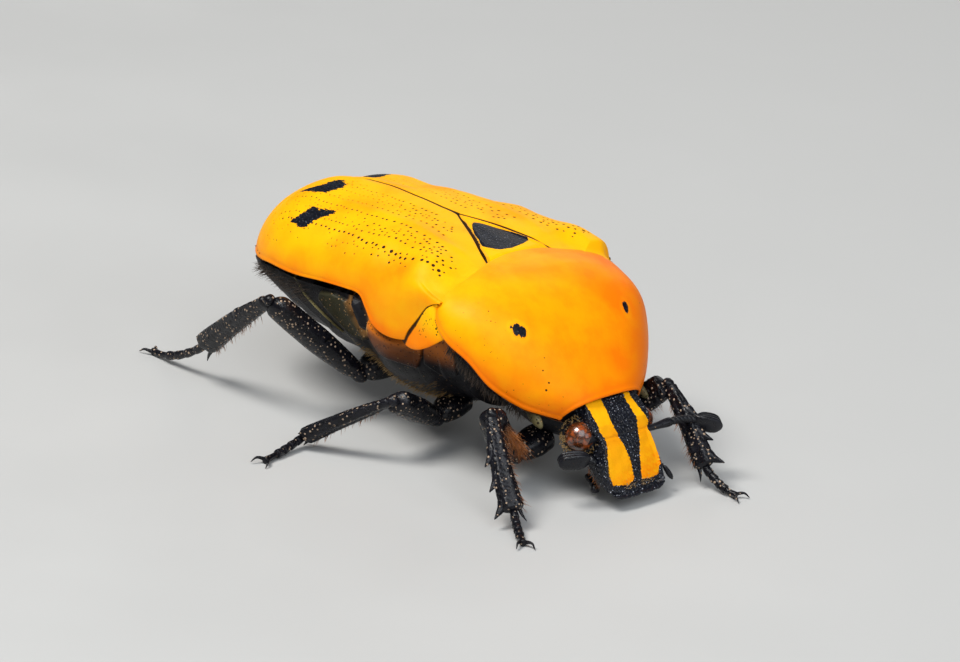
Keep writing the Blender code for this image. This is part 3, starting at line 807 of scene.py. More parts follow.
@dataclass(frozen=True)
class PaintedShell(Finish):
    """Satin coloured shell with black markings and punctures; the markings' granules carry painted glints.
    """

    pale: tuple = (1.0, 0.49, 0.0006, 1)
    deep: tuple = (0.97, 0.2, 0.0004, 1)
    black: tuple = (0.003, 0.0035, 0.007, 1)
    bluish: tuple = (0.016, 0.021, 0.036, 1)
    # Colour of the painted glints: pale flecks painted on the granules of the black markings.
    glint: tuple = (0.8, 0.83, 0.95, 1)
    pit: tuple = (0.03, 0.012, 0.003, 1)
    roughness: float = 0.42
    raggedness: float = 0.42
    warmth: float = 0.0
    # Share of painted glints on the black markings, and their coat weight and granule relief.
    glitter: float = 0.08

    def material(self) -> Material:
        """The finish as a material."""
        material, graph, shader = self.start()
        place = graph.place()
        grain = graph.group(fine_grain(), Place=place)
        cloud = graph.step(grain.outputs["Cloud"], 0.35, 0.75)
        warm = graph.maths("ADD", graph.mask("warm"), self.warmth)
        colour = graph.blend(graph.plus(warm, cloud, 0.22, clamp=True), self.pale, self.deep)
        dots = graph.group(scattered_pits(), Place=place, Scale=3.0, Size=0.075, Share=0.3).outputs["Mask"]
        colour = graph.blend(graph.maths("MULTIPLY", dots, 0.25), colour, self.pit)
        colour = graph.blend(graph.step(graph.mask("pit"), 0.22, 0.42), colour, self.pit)
        depth, ragged = graph.mask("mark"), self.raggedness
        mark = graph.group(ragged_edge(), Place=place, Depth=depth, Raggedness=ragged).outputs["Mask"]
        bloom = graph.noise(place, 9.0, 4.0, 0.7)
        black = graph.blend(graph.step(bloom, 0.45, 0.75), self.black, self.bluish)
        granules = graph.cells(place, 7.5)
        chance = graph.node("ShaderNodeSeparateColor", {0: granules.outputs["Color"]}).outputs[0]
        beads = graph.step(granules.outputs["Distance"], 0.1, 0.6, 1.0, 0.0)
        # Pale flecks on some granules of the black markings: painted glints, a highlight painted into the
        # colour.
        glint = graph.maths("MULTIPLY", graph.step(beads, 0.72, 0.96), graph.step(chance, 0.45, 0.8))
        black = graph.blend(graph.maths("MULTIPLY", glint, self.glitter), black, self.glint)
        graph.feed(shader.inputs["Base Color"], graph.blend(mark, colour, black))
        rough = graph.plus(self.roughness, grain.outputs["Cloud"], 0.12)
        graph.feed(shader.inputs["Roughness"], graph.plus(rough, mark, -0.1))
        coarse = graph.plus(graph.maths("MULTIPLY", bloom, 1.5), beads, self.glitter * 9)
        height = graph.plus(grain.outputs["Height"], dots, -0.6)
        graph.feed(shader.inputs["Coat Weight"], graph.maths("MULTIPLY", mark, self.glitter))
        shader.inputs["Coat Roughness"].default_value = 0.16
        self.bump(graph, shader, graph.plus(height, coarse, mark), 0.012)
        shader.inputs["Specular IOR Level"].default_value = 0.09
        return material


@dataclass(frozen=True)
class BlackShell(Finish):
    """Glossy black shell with pits, tan specks and coloured patches."""

    black: tuple = (0.004, 0.004, 0.006, 1)
    olive: tuple = (0.03, 0.028, 0.013, 1)
    amber: tuple = (0.72, 0.19, 0.006, 1)
    cream: tuple = (0.5, 0.42, 0.17, 1)
    tan: tuple = (0.5, 0.3, 0.13, 1)
    hole: tuple = (0.002, 0.002, 0.002, 1)
    roughness: float = 0.17
    specular: float = 0.34
    pits: float = 6.0
    pit_size: float = 0.3
    specks: float = 0.12

    def material(self) -> Material:
        """The finish as a material."""
        material, graph, shader = self.start()
        place = graph.place()
        grain = graph.group(fine_grain(), Place=place)
        cloud = grain.outputs["Cloud"]
        holes = graph.group(scattered_pits(), Place=place, Scale=self.pits, Size=self.pit_size, Share=0.75)
        aside = graph.vectors("ADD", place, (3.1, 7.7, 1.3))
        share = graph.plus(self.specks, graph.mask("olive"), 0.5)
        dust = graph.group(scattered_pits(), Place=aside, Scale=self.pits, Size=0.36, Share=share)
        holes, dust = holes.outputs["Mask"], dust.outputs["Mask"]
        greyer = tuple(c * 2.2 for c in self.black[:3]) + (1,)
        colour = graph.blend(graph.step(cloud, 0.35, 0.8), self.black, greyer)
        for name, tint in (("olive", self.olive), ("amber", self.amber), ("cream", self.cream)):
            share = graph.maths("MULTIPLY", graph.mask(name), graph.step(cloud, 0.1, 0.6, 0.7, 1.0))
            colour = graph.blend(share, colour, tint)
        colour = graph.blend(graph.maths("MULTIPLY", holes, 0.7), colour, self.hole)
        colour = graph.blend(graph.maths("MULTIPLY", dust, 0.85), colour, self.tan)
        colour = graph.blend(graph.step(graph.mask("pit"), 0.25, 0.6), colour, self.hole)
        graph.feed(shader.inputs["Base Color"], colour)
        rough = graph.plus(graph.plus(self.roughness, cloud, 0.16), dust, 0.4, clamp=True)
        graph.feed(shader.inputs["Roughness"], rough)
        height = graph.plus(graph.plus(grain.outputs["Height"], holes, -2.6), dust, 1.2)
        self.bump(graph, shader, height, 0.02)
        shader.inputs["Specular IOR Level"].default_value = self.specular
        return material


@dataclass(frozen=True)
class EyeShell(Finish):
    """Glossy reddish brown eye with dark mottling and fine facets."""

    red: tuple = (0.26, 0.045, 0.006, 1)
    dark: tuple = (0.018, 0.005, 0.003, 1)

    def material(self) -> Material:
        """The finish as a material."""
        material, graph, shader = self.start()
        place = graph.place()
        patches = graph.step(graph.noise(place, 2.9, 3.0), 0.4, 0.52)
        colour = graph.blend(patches, self.red, self.dark)
        facets = graph.cells(place, 26.0, feature="SMOOTH_F1")
        colour = graph.blend(
            graph.step(facets.outputs["Distance"], 0.2, 0.7, 0.0, 0.3), colour, (0.45, 0.12, 0.02, 1)
        )
        graph.feed(shader.inputs["Base Color"], colour)
        graph.feed(shader.inputs["Roughness"], graph.step(patches, 0.0, 1.0, 0.16, 0.24))
        self.bump(graph, shader, graph.maths("SUBTRACT", 1.0, facets.outputs["Distance"]), 0.006)
        shader.inputs["Specular IOR Level"].default_value = 0.65
        shader.inputs["Coat Roughness"].default_value = 0.06
        graph.feed(shader.inputs["Coat Weight"], 0.7)
        return material


@dataclass(frozen=True)
class HairFinish(Finish):
    """Short stiff hair, darker at the root."""

    root: tuple = (0.05, 0.02, 0.006, 1)
    tip: tuple = (0.45, 0.17, 0.04, 1)

    def material(self) -> Material:
        """The finish as a material."""
        material, graph, shader = self.start()
        uneven = graph.noise(graph.place(), 3.0, 2.0)
        share = graph.maths(
            "MULTIPLY", graph.mask("along"), graph.step(uneven, 0.2, 0.8, 0.6, 1.2), clamp=True
        )
        graph.feed(shader.inputs["Base Color"], graph.blend(share, self.root, self.tip))
        graph.feed(shader.inputs["Roughness"], graph.step(uneven, 0.2, 0.8, 0.35, 0.5))
        return material


@dataclass(frozen=True)
class FloorFinish(Finish):
    """A plain pale floor."""

    pale: tuple = (0.5, 0.5, 0.49, 1)

    def material(self) -> Material:
        """The finish as a material."""
        material, graph, shader = self.start()
        where = graph.node("ShaderNodeTexCoord").outputs["Object"]
        shade = graph.noise(where, 60.0, 3.0)
        darker = tuple(c * 0.93 for c in self.pale[:3]) + (1,)
        graph.feed(shader.inputs["Base Color"], graph.blend(shade, darker, self.pale))
        graph.feed(shader.inputs["Roughness"], graph.step(shade, 0.2, 0.8, 0.55, 0.7))
        return material


@dataclass(frozen=True)
class Finishes:
    """All finishes, as materials."""

    wing: Material
    shield: Material
    face: Material
    patch: Material
    side: Material
    body: Material
    leg: Material
    horn: Material
    eye: Material
    brown_hair: Material
    dark_hair: Material
    gold_hair: Material

    @classmethod
    def make(cls) -> "Finishes":
        """Makes every finish once."""
        return cls(
            wing=PaintedShell("wing cover yellow", warmth=0.1, raggedness=0.75).material(),
            shield=PaintedShell(
                "neck shield orange", roughness=0.36, raggedness=0.24, warmth=0.42
            ).material(),
            face=PaintedShell(
                "face", (1, 0.45, 0.003, 1), roughness=0.4, raggedness=0.2, glitter=0.6
            ).material(),
            patch=PaintedShell("scutellum patch", raggedness=0.12, glitter=0.16).material(),
            side=PaintedShell("side plate orange", warmth=0.2).material(),
            body=BlackShell("body black", specks=0.14, roughness=0.32, specular=0.2).material(),
            leg=BlackShell(
                "leg black", tan=(0.5, 0.36, 0.25, 1), pits=4.6, specks=0.7, specular=0.26
            ).material(),
            horn=BlackShell("horn black", specks=0.05, roughness=0.2).material(),
            eye=EyeShell("eye brown").material(),
            brown_hair=HairFinish("brown hair", tip=(0.5, 0.16, 0.03, 1)).material(),
            dark_hair=HairFinish("dark hair", (0.01, 0.008, 0.006, 1), (0.08, 0.05, 0.03, 1)).material(),
            gold_hair=HairFinish("gold hair", (0.2, 0.11, 0.03, 1), (0.62, 0.4, 0.16, 1)).material(),
        )


@dataclass(frozen=True)
class BackShape:
    """The domed back that the wing covers, the scutellum and the trunk under them share."""

    end: float = -17.2
    width: Profile = Profile(
        ((-17.2, 5.9), (-14, 6.4), (-11, 6.65), (-8, 6.7), (-5.5, 6.75), (-3, 6.95), (-1.5, 6.85), (0, 6.8))
    )
    top: Profile = Profile(
        (
            (-17.2, 0.2), (-14.5, 0.25), (-12.8, 0.25), (-11.5, 0.19), (-9.9, 0.3), (-8.3, 0.46),
            (-6.6, 0.6), (-5.2, 0.72), (-3, 0.7), (0, 0.42)
        )
    )
    squareness: Profile = Profile(((-17.2, 2.2), (-8, 2.3), (-5, 2.6), (-3, 3.3), (-1, 4.5), (0, 4.6)))
    edge: Profile = Profile(
        (
            (-17.2, -5.2), (-15, -4.9), (-13, -4.4), (-10.6, -4.0), (-8.5, -3.5), (-6.5, -3.08),
            (-5.3, -2.95), (-4.6, -3.5), (-3.9, -4.1), (-2.6, -4.25), (-1.3, -3.95), (0, -3.2)
        )
    )
    bumps: tuple = ((-1.2, 5.7, 1.5, 0.6), (-4.4, 5.2, 2.0, 0.34), (-14, 4.1, 1.6, 0.14))
    apex_start: float = -9.0
    apex_plan: float = 3.3
    apex_side: float = 2.4

    def apex_share(self, x: Values, end: float, roundness: float) -> Values:
        """How much of the width or height is left towards the rear end."""
        along = np.clip((self.apex_start - x) / (self.apex_start - end), 0, 1)
        return np.maximum(1 - along**roundness, 0) ** (1 / roundness)

    def section(self, x: Values, inset: float = 0.0, gap: float = 0.15) -> tuple:
        """Edge height, half width and top height of the back at a place along it.

        Args:
            x: places along the back.
            inset: how far inside the surface it is.
            gap: half width of the strip at full height along the middle.

        Returns:
            The three measures.
        """
        end = self.end + inset
        edge = self.edge(x)
        half = (self.width(x) - gap - inset) * self.apex_share(x, end, self.apex_plan) + gap
        top = edge + (self.top(x) - inset - edge) * self.apex_share(x, end, self.apex_side)
        return edge, half, top

    def height(self, x: Values, y: Values, inset: float = 0.0, gap: float = 0.15) -> Values:
        """Height of the back above a place in plan.

        Args:
            x: place along the back.
            y: place across it.
            inset: how far inside the surface it is.
            gap: half width of the strip at full height along the middle.

        Returns:
            The height.
        """
        edge, half, top = self.section(x, inset, gap)
        power = self.squareness(x)
        share = np.clip((np.abs(y) - gap) / np.maximum(half - gap, 1e-6), 0, 1)
        level = (1 - share**power) ** (1 / power)
        rise = sum(r * np.exp(-((x - a) ** 2 + (np.abs(y) - o) ** 2) / s**2) for a, o, s, r in self.bumps)
        return edge + (top - edge) * level + rise * level


@dataclass(frozen=True)
class ScutellumPlan:
    """The scutellum's outline in plan."""

    length: float = 5.1
    half_width: float = 2.45
    taper: float = 0.92
    sunk: float = 0.05

    def side(self, x: Values) -> Values:
        """Half width at a place."""
        return self.half_width * np.clip(1 + x / self.length, 0, 1) ** self.taper


BACK = BackShape()
SCUTELLUM = ScutellumPlan()


@dataclass
class WingCover:
    """One wing cover: a domed shell with rows of punctures, two low ribs, a beaded edge and two spots."""

    side: Side
    rows: int = 460
    columns: int = 236
    seam_gap: float = 0.02
    side_swell: Profile = Profile(((-17.2, 0), (-8, 0.05), (-4, 0.15), (-1.5, 0.25), (0, 0.3)))
    puncture_rows: tuple = (
        (((-12.4, 1.7), (-10, 1.45), (-8, 1.25), (-5.5, 1.1)), 0.9),
        (((-12.0, 2.4), (-10, 2.2), (-8, 2.0), (-4.6, 1.9)), 0.75),
        (
            ((-12.4, 3.3), (-11, 3.19), (-10, 2.97), (-7.8, 2.71), (-6.2, 2.58), (-4.7, 2.54), (-3, 2.85)),
            0.8
        ),
        (
            (
                (-14, 3.95), (-12.5, 3.85), (-9.7, 3.75), (-8.3, 3.65), (-6, 3.5), (-4.4, 3.7), (-2.6, 3.83),
                (-1.1, 4.2)
            ),
            0.9
        ),
        (((-14, 4.95), (-10, 4.9), (-4.4, 4.9), (-3, 4.95), (-0.4, 4.75)), 0.9),
        (((-13.5, 5.3), (-8.2, 5.35), (-6.2, 5.5), (-4, 5.65), (-2.5, 5.75), (-0.4, 5.5)), 1.15),
        (((-9, 5.75), (-6.5, 5.8), (-4.3, 5.8), (-2.3, 6.2)), 0.6)
    )
    zones: tuple = (
        ((-11.5, -3.4, 1.45, 2.5), 90), ((-12.5, -2.0, 3.95, 4.75), 130), ((-9.5, -2.6, 5.5, 6.2), 50),
        ((-16.2, -11.0, 1.0, 6.2), 260), ((-2.4, -0.3, 4.3, 5.9), 22)
    )
    costae: tuple = (
        (((-13.5, 3.5), (-10, 3.35), (-6, 3.05), (-3, 3.3), (-1.5, 3.1)), 0.05),
        (((-13.5, 5.1), (-8, 5.12), (-4, 5.3), (-2, 5.65)), 0.035)
    )
    outer_spot: tuple = (
        (-12.65, 5.5), (-12.5, 5.2), (-12.25, 5.0), (-12.2, 4.65), (-12.1, 4.45), (-11.55, 4.45),
        (-10.75, 4.2), (-10.3, 4.25), (-10.6, 4.55), (-11.15, 5.2), (-11.35, 5.65), (-11.95, 5.65)
    )
    inner_spot: tuple = (
        (-14.42, 3.41), (-13.43, 2.44), (-13.56, 1.72), (-13.01, 1.48), (-12.37, 1.84), (-12.15, 2.33),
        (-12.35, 2.82), (-12.47, 3.3), (-13.24, 3.49)
    )
    far_shifts: tuple = ((0.1, 0.75), (0.9, 0.6))

    def surface(self) -> tuple:
        """The smooth shell as a grid, with the share of the way out from the seam."""
        t = np.linspace(0, 1, self.rows)
        straight, share = 0.75, 0.825
        turn = np.clip((t - straight) / (1 - straight), 0, 1) * math.pi / 2
        round_end = share + (1 - share) * np.sin(turn)
        along = np.where(t < straight, t * share / straight, round_end)[:, None]
        spread = np.linspace(0, 1, self.columns)[None]
        far = self.side is Side.LEFT
        start = 0.36 + (1.15 * smoothstep(0.02, 0.3, spread) if far else 0.5 * smoothstep(0.1, 0.45, spread))
        late = 0.62 if far else 0.745
        late_share = np.maximum((spread - late) / (1 - late), 0)
        start = start - (start + 1.34) / 2.1 * (1.5 * late_share**0.92 + 0.6 * late_share**14)
        x = start + (BACK.end - start) * along
        edge, half, _ = BACK.section(x, gap=self.seam_gap)
        power = BACK.squareness(x)
        seam = SCUTELLUM.side(x) + 0.05 * np.clip((x + 5.7) / 0.5, 0, 1)
        reach = np.maximum(half - self.seam_gap, 1e-6)
        low = np.arcsin(np.minimum(seam / reach, 1) ** (power / 2))
        angle = low + (math.pi / 2 - low) * spread
        y = self.seam_gap + reach * np.sin(angle) ** (2 / power)
        z = BACK.height(x, y, gap=self.seam_gap)
        z = np.where(spread >= 1, edge, z)
        y = y + self.side_swell(x) * np.sin(math.pi * (0.5 * spread + 0.5 * spread**3)) ** 2
        beside = np.clip(y / (6.25 if far else 6.55), 0, 1) ** 2.4
        under_shield = -1.36 + 1.72 * (1 - beside) ** (1 / 2.4)
        lowest = -1.6 if far else -0.95
        under_shield = (under_shield + lowest + np.sqrt((under_shield - lowest) ** 2 + 0.2 * (not far))) / 2
        lower = smoothstep(0.3, 1.3, x) if far else smoothstep(-2.4, 0.5, x)
        middle = smoothstep(-1.4, 0.3, x) * (1 - smoothstep(3.6, 5.2, y))
        lower = np.maximum(lower, middle) * (1 - smoothstep(0.72 if far else 0.5, 0.88, spread))
        above = z - under_shield
        z = z - (above + np.sqrt(above**2 + 0.03)) / 2 * lower
        z = z - 0.32 * hump(y, 0, 1.6 if far else 0.55) * smoothstep(-10.5, -14, x)
        if far:
            y = y - 0.45 * smoothstep(0, 1.2, x) * smoothstep(0.35, 0.75, spread)
            z = z - 0.12 * np.exp(-((x + 1.6) ** 2 + (y - 5.7) ** 2) / 2.6)
            z = z + 0.2 * np.exp(-((x - 0.6) ** 2 + (y - 6.3) ** 2))
            z = z - 0.28 * smoothstep(-8.5, -11, x) * smoothstep(0, 1.5, y)
        return np.stack((x, y, z), axis=-1), spread

    def punctures(self) -> Dimples:
        """The punctures, in their rows and zones."""
        rng = np.random.default_rng(11)
        dimples = Dimples()
        taken = [(0.0, 0.0)]

        def free(x: float, y: float, spacing: float) -> bool:
            """Whether a place is far enough from the punctures made so far, and takes it.

            Args:
                x: place along the back.
                y: place across it.
                spacing: the least distance from the others.

            Returns:
                Whether the place was taken.
            """
            if np.hypot(*(np.array(taken) - (x, y)).T).min() < spacing:
                return False
            taken.append((x, y))
            return True

        for stations, size in self.puncture_rows:
            row = Profile(stations)
            x = stations[0][0]
            while x < stations[-1][0]:
                y = row(x) + rng.normal() * 0.035
                front = smoothstep(-11, -4, x)
                radius = (0.062 + 0.034 * front * rng.uniform(0.4, 1)) * size
                if free(x, y, 0.16):
                    self.plan(dimples, x, y, radius, 0.05 * size, 0.75 + 0.25 * front)
                x += (0.33 + 0.18 * front) * rng.uniform(0.75, 1.3)
        for (x0, x1, y0, y1), count in self.zones:
            for _ in range(count):
                x, y = rng.uniform(x0, x1), rng.uniform(y0, y1)
                front = smoothstep(-11, -5, x)
                radius = rng.uniform(0.042, 0.062) + 0.02 * front
                if free(x, y, 0.25):
                    self.plan(dimples, x, y, radius, 0.035, 0.55 + 0.45 * front * rng.random())
        return dimples

    def plan(self, dimples: Dimples, x: float, y: float, radius: float, depth: float, dark: float) -> None:
        """Adds one puncture at a place in plan."""
        dimples.add((x, y, float(BACK.height(x, y, gap=self.seam_gap))), radius, depth, dark)

    def build(self, bench: Bench, finishes: Finishes) -> None:
        """Makes the cover.

        Args:
            bench: makes the pieces.
            finishes: the finishes to take from.
        """
        grid, _ = self.surface()
        normals = grid_normals(grid, (-8, 2, -6))
        across = arc_lengths(grid, 1)
        from_edge = across[:, -1:] - across
        x, y = grid[..., 0], grid[..., 1]
        tail = 1 - smoothstep(-16.9, -15.5, x)
        relief = 0.018 * hump(from_edge, 0.1, 0.08) - 0.012 * hump(from_edge, 0.3, 0.12)
        relief = relief * smoothstep(-0.4, -1.6, x)
        relief += 0.05 * hump(across, 0.42, 0.42) * smoothstep(-8, -13, x) * (1 - tail)
        relief -= 0.035 * hump(across, 0.0, 0.06)
        for stations, rise in self.costae:
            fade = smoothstep(-14.5, -12, x) * smoothstep(-0.4, -2, x)
            relief += rise * hump(y, Profile(stations)(x), 0.34) * fade
        relief += 0.012 * drift(grid, 2.6, 5)
        grid = grid + normals * relief[..., None]
        grid, pit = self.punctures().press(grid, normals)
        normals = grid_normals(grid, (-8, 2, -6))
        marks = []
        for spot, (back, inward) in zip((self.outer_spot, self.inner_spot), self.far_shifts):
            moved = self.side is Side.LEFT
            marks.append(outline_depth(x + back * moved, y + inward * moved, spot))
        mark = np.maximum(*marks)
        warm = 0.55 * hump(from_edge, 0, 0.7) + 0.3 * np.clip(drift(grid, 3.5, 8), 0, 1)
        warm += 0.4 * np.exp(-(((x + 3.4) / 0.9) ** 2 + ((y - 3.1) / 0.5) ** 2))
        warm += 0.45 * np.exp(-(((x + 3.6) / 1.8) ** 2 + ((y - 6.5) / 0.6) ** 2))
        lipped_grid, before = lipped(grid, normals, 0.042, 0.35, "rltb")
        seam_line = 0.9 * hump(across, 0, 0.03) * smoothstep(-16.8, -15.5, x)
        front_line = 0.35 * hump(across, 0, 0.03) * smoothstep(-5.2, -4.6, x)
        pit = np.maximum(pit, np.maximum(seam_line, front_line))
        masks = {"pit": pit, "mark": np.clip(mark, -1, 1), "warm": warm}
        masks = {name: padded(mask, lipped_grid.shape, before) for name, mask in masks.items()}
        lipped_grid[..., 1] *= self.side.value
        sheet = grid_sheet(lipped_grid, masks=masks).outward((-8, 2 * self.side.value, -6))
        bench.piece(
            f"wing_cover_shell_{self.side.word}", sheet, finishes.wing, [f"wing_cover_{self.side.word}"],
            Slot.YELLOW
        )


@dataclass
class Scutellum:
    """The long triangle between the wing covers: yellow-edged, with a black patch."""

    rows: int = 150
    columns: int = 90
    patch: tuple = (
        (-3.9, 0.0), (-3.75, 0.25), (-3.3, 0.62), (-2.7, 1.0), (-1.9, 1.48), (-1.35, 1.78), (-1.08, 1.68),
        (-0.84, 0.85), (-0.72, 0.0)
    )

    def build(self, bench: Bench, finishes: Finishes) -> None:
        """Makes the plate.

        Args:
            bench: makes the pieces.
            finishes: the finishes to take from.
        """
        along = np.linspace(0, 1, self.rows)[:, None]
        spread = np.linspace(-1, 1, self.columns)[None]
        x = 0.38 - (0.38 + SCUTELLUM.length - 0.03) * along + 0 * spread
        y = SCUTELLUM.side(np.minimum(x, 0)) * spread
        z = BACK.height(x, y, gap=0.02) - SCUTELLUM.sunk
        z = z - 0.14 * smoothstep(-0.6, -0.1, x)
        grid = np.stack((x, y, z), axis=-1)
        normals = grid_normals(grid, (-2.5, 0, -5))
        border = SCUTELLUM.side(np.minimum(x, 0)) * (1 - np.abs(spread))
        relief = 0.03 * hump(border, 0.1, 0.08) - 0.03 * hump(border, 0.26, 0.1)
        relief = relief + 0.05 * smoothstep(0, 1.6, border)
        relief += 0.008 * drift(grid, 1.4, 3)
        grid = grid + normals * relief[..., None]
        near = [(px, -py) if py < 1.4 else (px - 0.28, 0.3 - py) for px, py in self.patch[-2:0:-1]]
        corners = self.patch + tuple(near)
        mark = outline_depth(x, y, corners)
        # The thin dark line round the edges is the seam; on the near, right side it widens into a painted
        # shadow of the gap beside the wing cover.
        painted_gap_shadow = smoothstep(-1.4, -1.8, x) * smoothstep(-4.7, -3.6, x) * (1 + 0.5 * drift(grid, 0.35, 2))
        thick = np.where(y < 0, 0.03 + 0.12 * painted_gap_shadow, 0.03)
        seam_and_gap_shadow = 0.9 * hump(border, 0.0, thick)
        masks = {"mark": mark, "pit": seam_and_gap_shadow, "warm": 0.25 * smoothstep(0.4, 0.0, border)}
        grid, before = lipped(grid, normals, 0.05, 0.2, "rl")
        masks = {name: padded(mask, grid.shape, before) for name, mask in masks.items()}
        sheet = grid_sheet(grid, masks=masks).outward((-2.5, 0, -5))
        bench.piece("scutellum_plate", sheet, finishes.patch, ["scutellum"], Slot.BLACK)


@dataclass
class NeckShield:
    """The domed neck shield with its fine rim, two black spots and the chest under it."""

    width: Profile = Profile(
        ((0, 6.68), (0.06, 7.02), (0.2, 7.14), (0.42, 6.75), (0.6, 6.15), (0.8, 5), (0.92, 4.05), (1, 3.15))
    )
    edge: Profile = Profile(
        (
            (0, -1.3), (0.06, -1.85), (0.2, -2.5), (0.42, -3.2), (0.6, -4.25), (0.8, -5.12), (0.92, -5.42),
            (1, -5.68)
        )
    )
    top: Profile = Profile(
        ((0, 0.42), (0.15, 0.62), (0.3, 0.55), (0.5, -0.1), (0.7, -1.45), (0.85, -2.9), (1, -4.4))
    )
    front_middle: float = 8.5
    front_corner: float = 7.72
    roundness: float = 2.4
    rows: int = 270
    columns: int = 321
    spots: tuple = (
        (4.8, -4.63, 0.21, 0.25, 0.78), (5.03, -4.39, 0.23, 0.22, 0.78), (4.57, -4.85, 0.06, 0.06, 0.0),
        (5.33, 3.33, 0.28, 0.2, -0.6)
    )
    specks: tuple = (
        (7.1, -4.0, 0.06), (7.04, -3.78, 0.055), (6.6, -3.95, 0.045), (6.3, -3.7, 0.035), (3.3, -5.4, 0.035),
        (3.7, -5.6, 0.035)
    )

    def point(self, u: Values, v: Values) -> np.ndarray:
        """Points of the shield: u from back to front, v from right to left.

        Args:
            u: place from back to front.
            v: place from right to left.

        Returns:
            The points, in body millimetres.
        """
        bow = np.abs(v)
        far = v > 0
        back = 0.19 + 0.4 * bow**3 + 1.1 * bow**2 * far
        back = back + np.where(far, 0.5, 0.42) * np.sin(math.pi * np.clip((bow - 0.2) / 0.8, 0, 1))
        back = back - 0.56 * hump(v, -0.01, 0.2)
        front = self.front_middle + (self.front_corner - 0.22 * far - self.front_middle) * bow**2
        x = back + (front - back) * u
        angle = math.pi / 2 * bow
        edge, top = self.edge(u), self.top(u)
        y = self.width(u) * np.sin(angle) ** (2 / self.roundness) * np.sign(v)
        y = y * np.where(far, 0.94 - 0.03 * hump(u, 0.2, 0.16), 1)
        z = edge + (top - edge) * np.maximum(np.cos(angle), 0) ** (2 / self.roundness)
        z = z - 0.3 * far * bow**4 * smoothstep(0.75, 1, u)
        return np.stack(np.broadcast_arrays(x, y, z), axis=-1)

    def chest(self, u: Values, v: Values) -> np.ndarray:
        """Points of the chest's underside.

        Args:
            u: place from back to front.
            v: place from right to left.

        Returns:
            The points, in body millimetres.
        """
        rim = self.point(u, np.sign(v) + (v == 0))
        bottom = Profile(((0, -7.6), (0.3, -8.3), (0.6, -8.5), (0.85, -8.1), (1, -7.6)))(u)
        share = np.abs(v)
        x = rim[..., 0] - (1 - share) * (0.25 + 0.3 * u)
        y = np.abs(rim[..., 1]) * np.sign(v) * (0.9 + 0.06 * smoothstep(0.9, 1.0, share)) * share**1.2
        z = bottom + (rim[..., 2] - 0.12 - bottom) * share**1.8
        return np.stack(np.broadcast_arrays(x, y, z), axis=-1)

    def build(self, bench: Bench, finishes: Finishes) -> None:
        """Makes the shield, the chest and the dark membranes in front of and behind them.

        Args:
            bench: makes the pieces.
            finishes: the finishes to take from.
        """
        u = np.linspace(0, 1, self.rows)[:, None]
        v = np.linspace(-1, 1, self.columns)[None]
        grid = self.point(u, v)
        inside = (4, 0, -6)
        normals = grid_normals(grid, inside)
        across = arc_lengths(grid, 1)
        from_side = np.minimum(across, across[:, -1:] - across)
        down_rows = arc_lengths(grid, 0)
        from_front = down_rows[-1:] - down_rows
        rim = hump(from_side, 0.09, 0.07) + 0.8 * hump(from_front, 0.08, 0.06)
        groove = hump(from_side, 0.27, 0.09) + 0.8 * hump(from_front, 0.24, 0.09)
        relief = 0.02 * rim - 0.014 * groove + 0.015 * drift(grid, 3.2, 21)
        grid = grid + normals * relief[..., None]
        x, y = grid[..., 0], grid[..., 1]
        mark = np.full(x.shape, -1.0)
        for at, out, length, breadth, turn in self.spots:
            c, s = math.cos(turn), math.sin(turn)
            p, q = (x - at) * c + (y - out) * s, (y - out) * c - (x - at) * s
            mark = np.maximum(mark, (1 - np.hypot(p / length, q / breadth)) * breadth)
        dimples = Dimples()
        rng = np.random.default_rng(4)
        for at, out, size in self.specks:
            dimples.add(self.seat(at, out), size, 0.02, 1.0)
        for _ in range(90):
            where = self.point(rng.uniform(0.1, 0.97), rng.choice((-1, 1)) * rng.uniform(0.35, 0.95) ** 0.6)
            dimples.add(where, rng.uniform(0.018, 0.03), 0.01, rng.uniform(0.2, 0.8))
        grid, pit = dimples.press(grid, normals)
        warm = 0.5 * hump(from_side, 0, 0.6) + 0.35 * hump(from_front, 0, 0.5)
        warm = warm + 0.3 * np.clip(drift(grid, 5, 9), 0, 1)
        # Paler at the near rear and deeper orange towards the far, left side: painted light and painted
        # shade, for light that falls mostly on the near side.
        warm += 0.25 * smoothstep(5.0, 8.5, x) - 0.3 * smoothstep(6, 0, x) * smoothstep(2, -5, y)
        warm += 0.5 * smoothstep(-1.5, 6.0, y)
        warm -= 0.2 * hump(mark, -0.12, 0.1)
        full, before = lipped(grid, normals, 0.055, 0.3, "rltb")
        masks = {"mark": mark, "pit": pit, "warm": warm}
        masks = {name: padded(mask, full.shape, before) for name, mask in masks.items()}
        sheet = grid_sheet(full, masks=masks).outward(inside)
        bench.piece("neck_shield", sheet, finishes.shield, ["fore_chest"], Slot.YELLOW)
        self.underside(bench, finishes)

    def seat(self, x: float, y: float) -> np.ndarray:
        """The shield's point above a place in plan, found by search.

        Args:
            x: place along the body.
            y: place across it.

        Returns:
            The point.
        """
        u = np.linspace(0, 1, 120)[:, None]
        v = np.linspace(-1, 1, 161)[None]
        grid = self.point(u, v)
        far = np.hypot(grid[..., 0] - x, grid[..., 1] - y) - 0.02 * grid[..., 2]
        return grid.reshape(-1, 3)[int(np.argmin(far))]

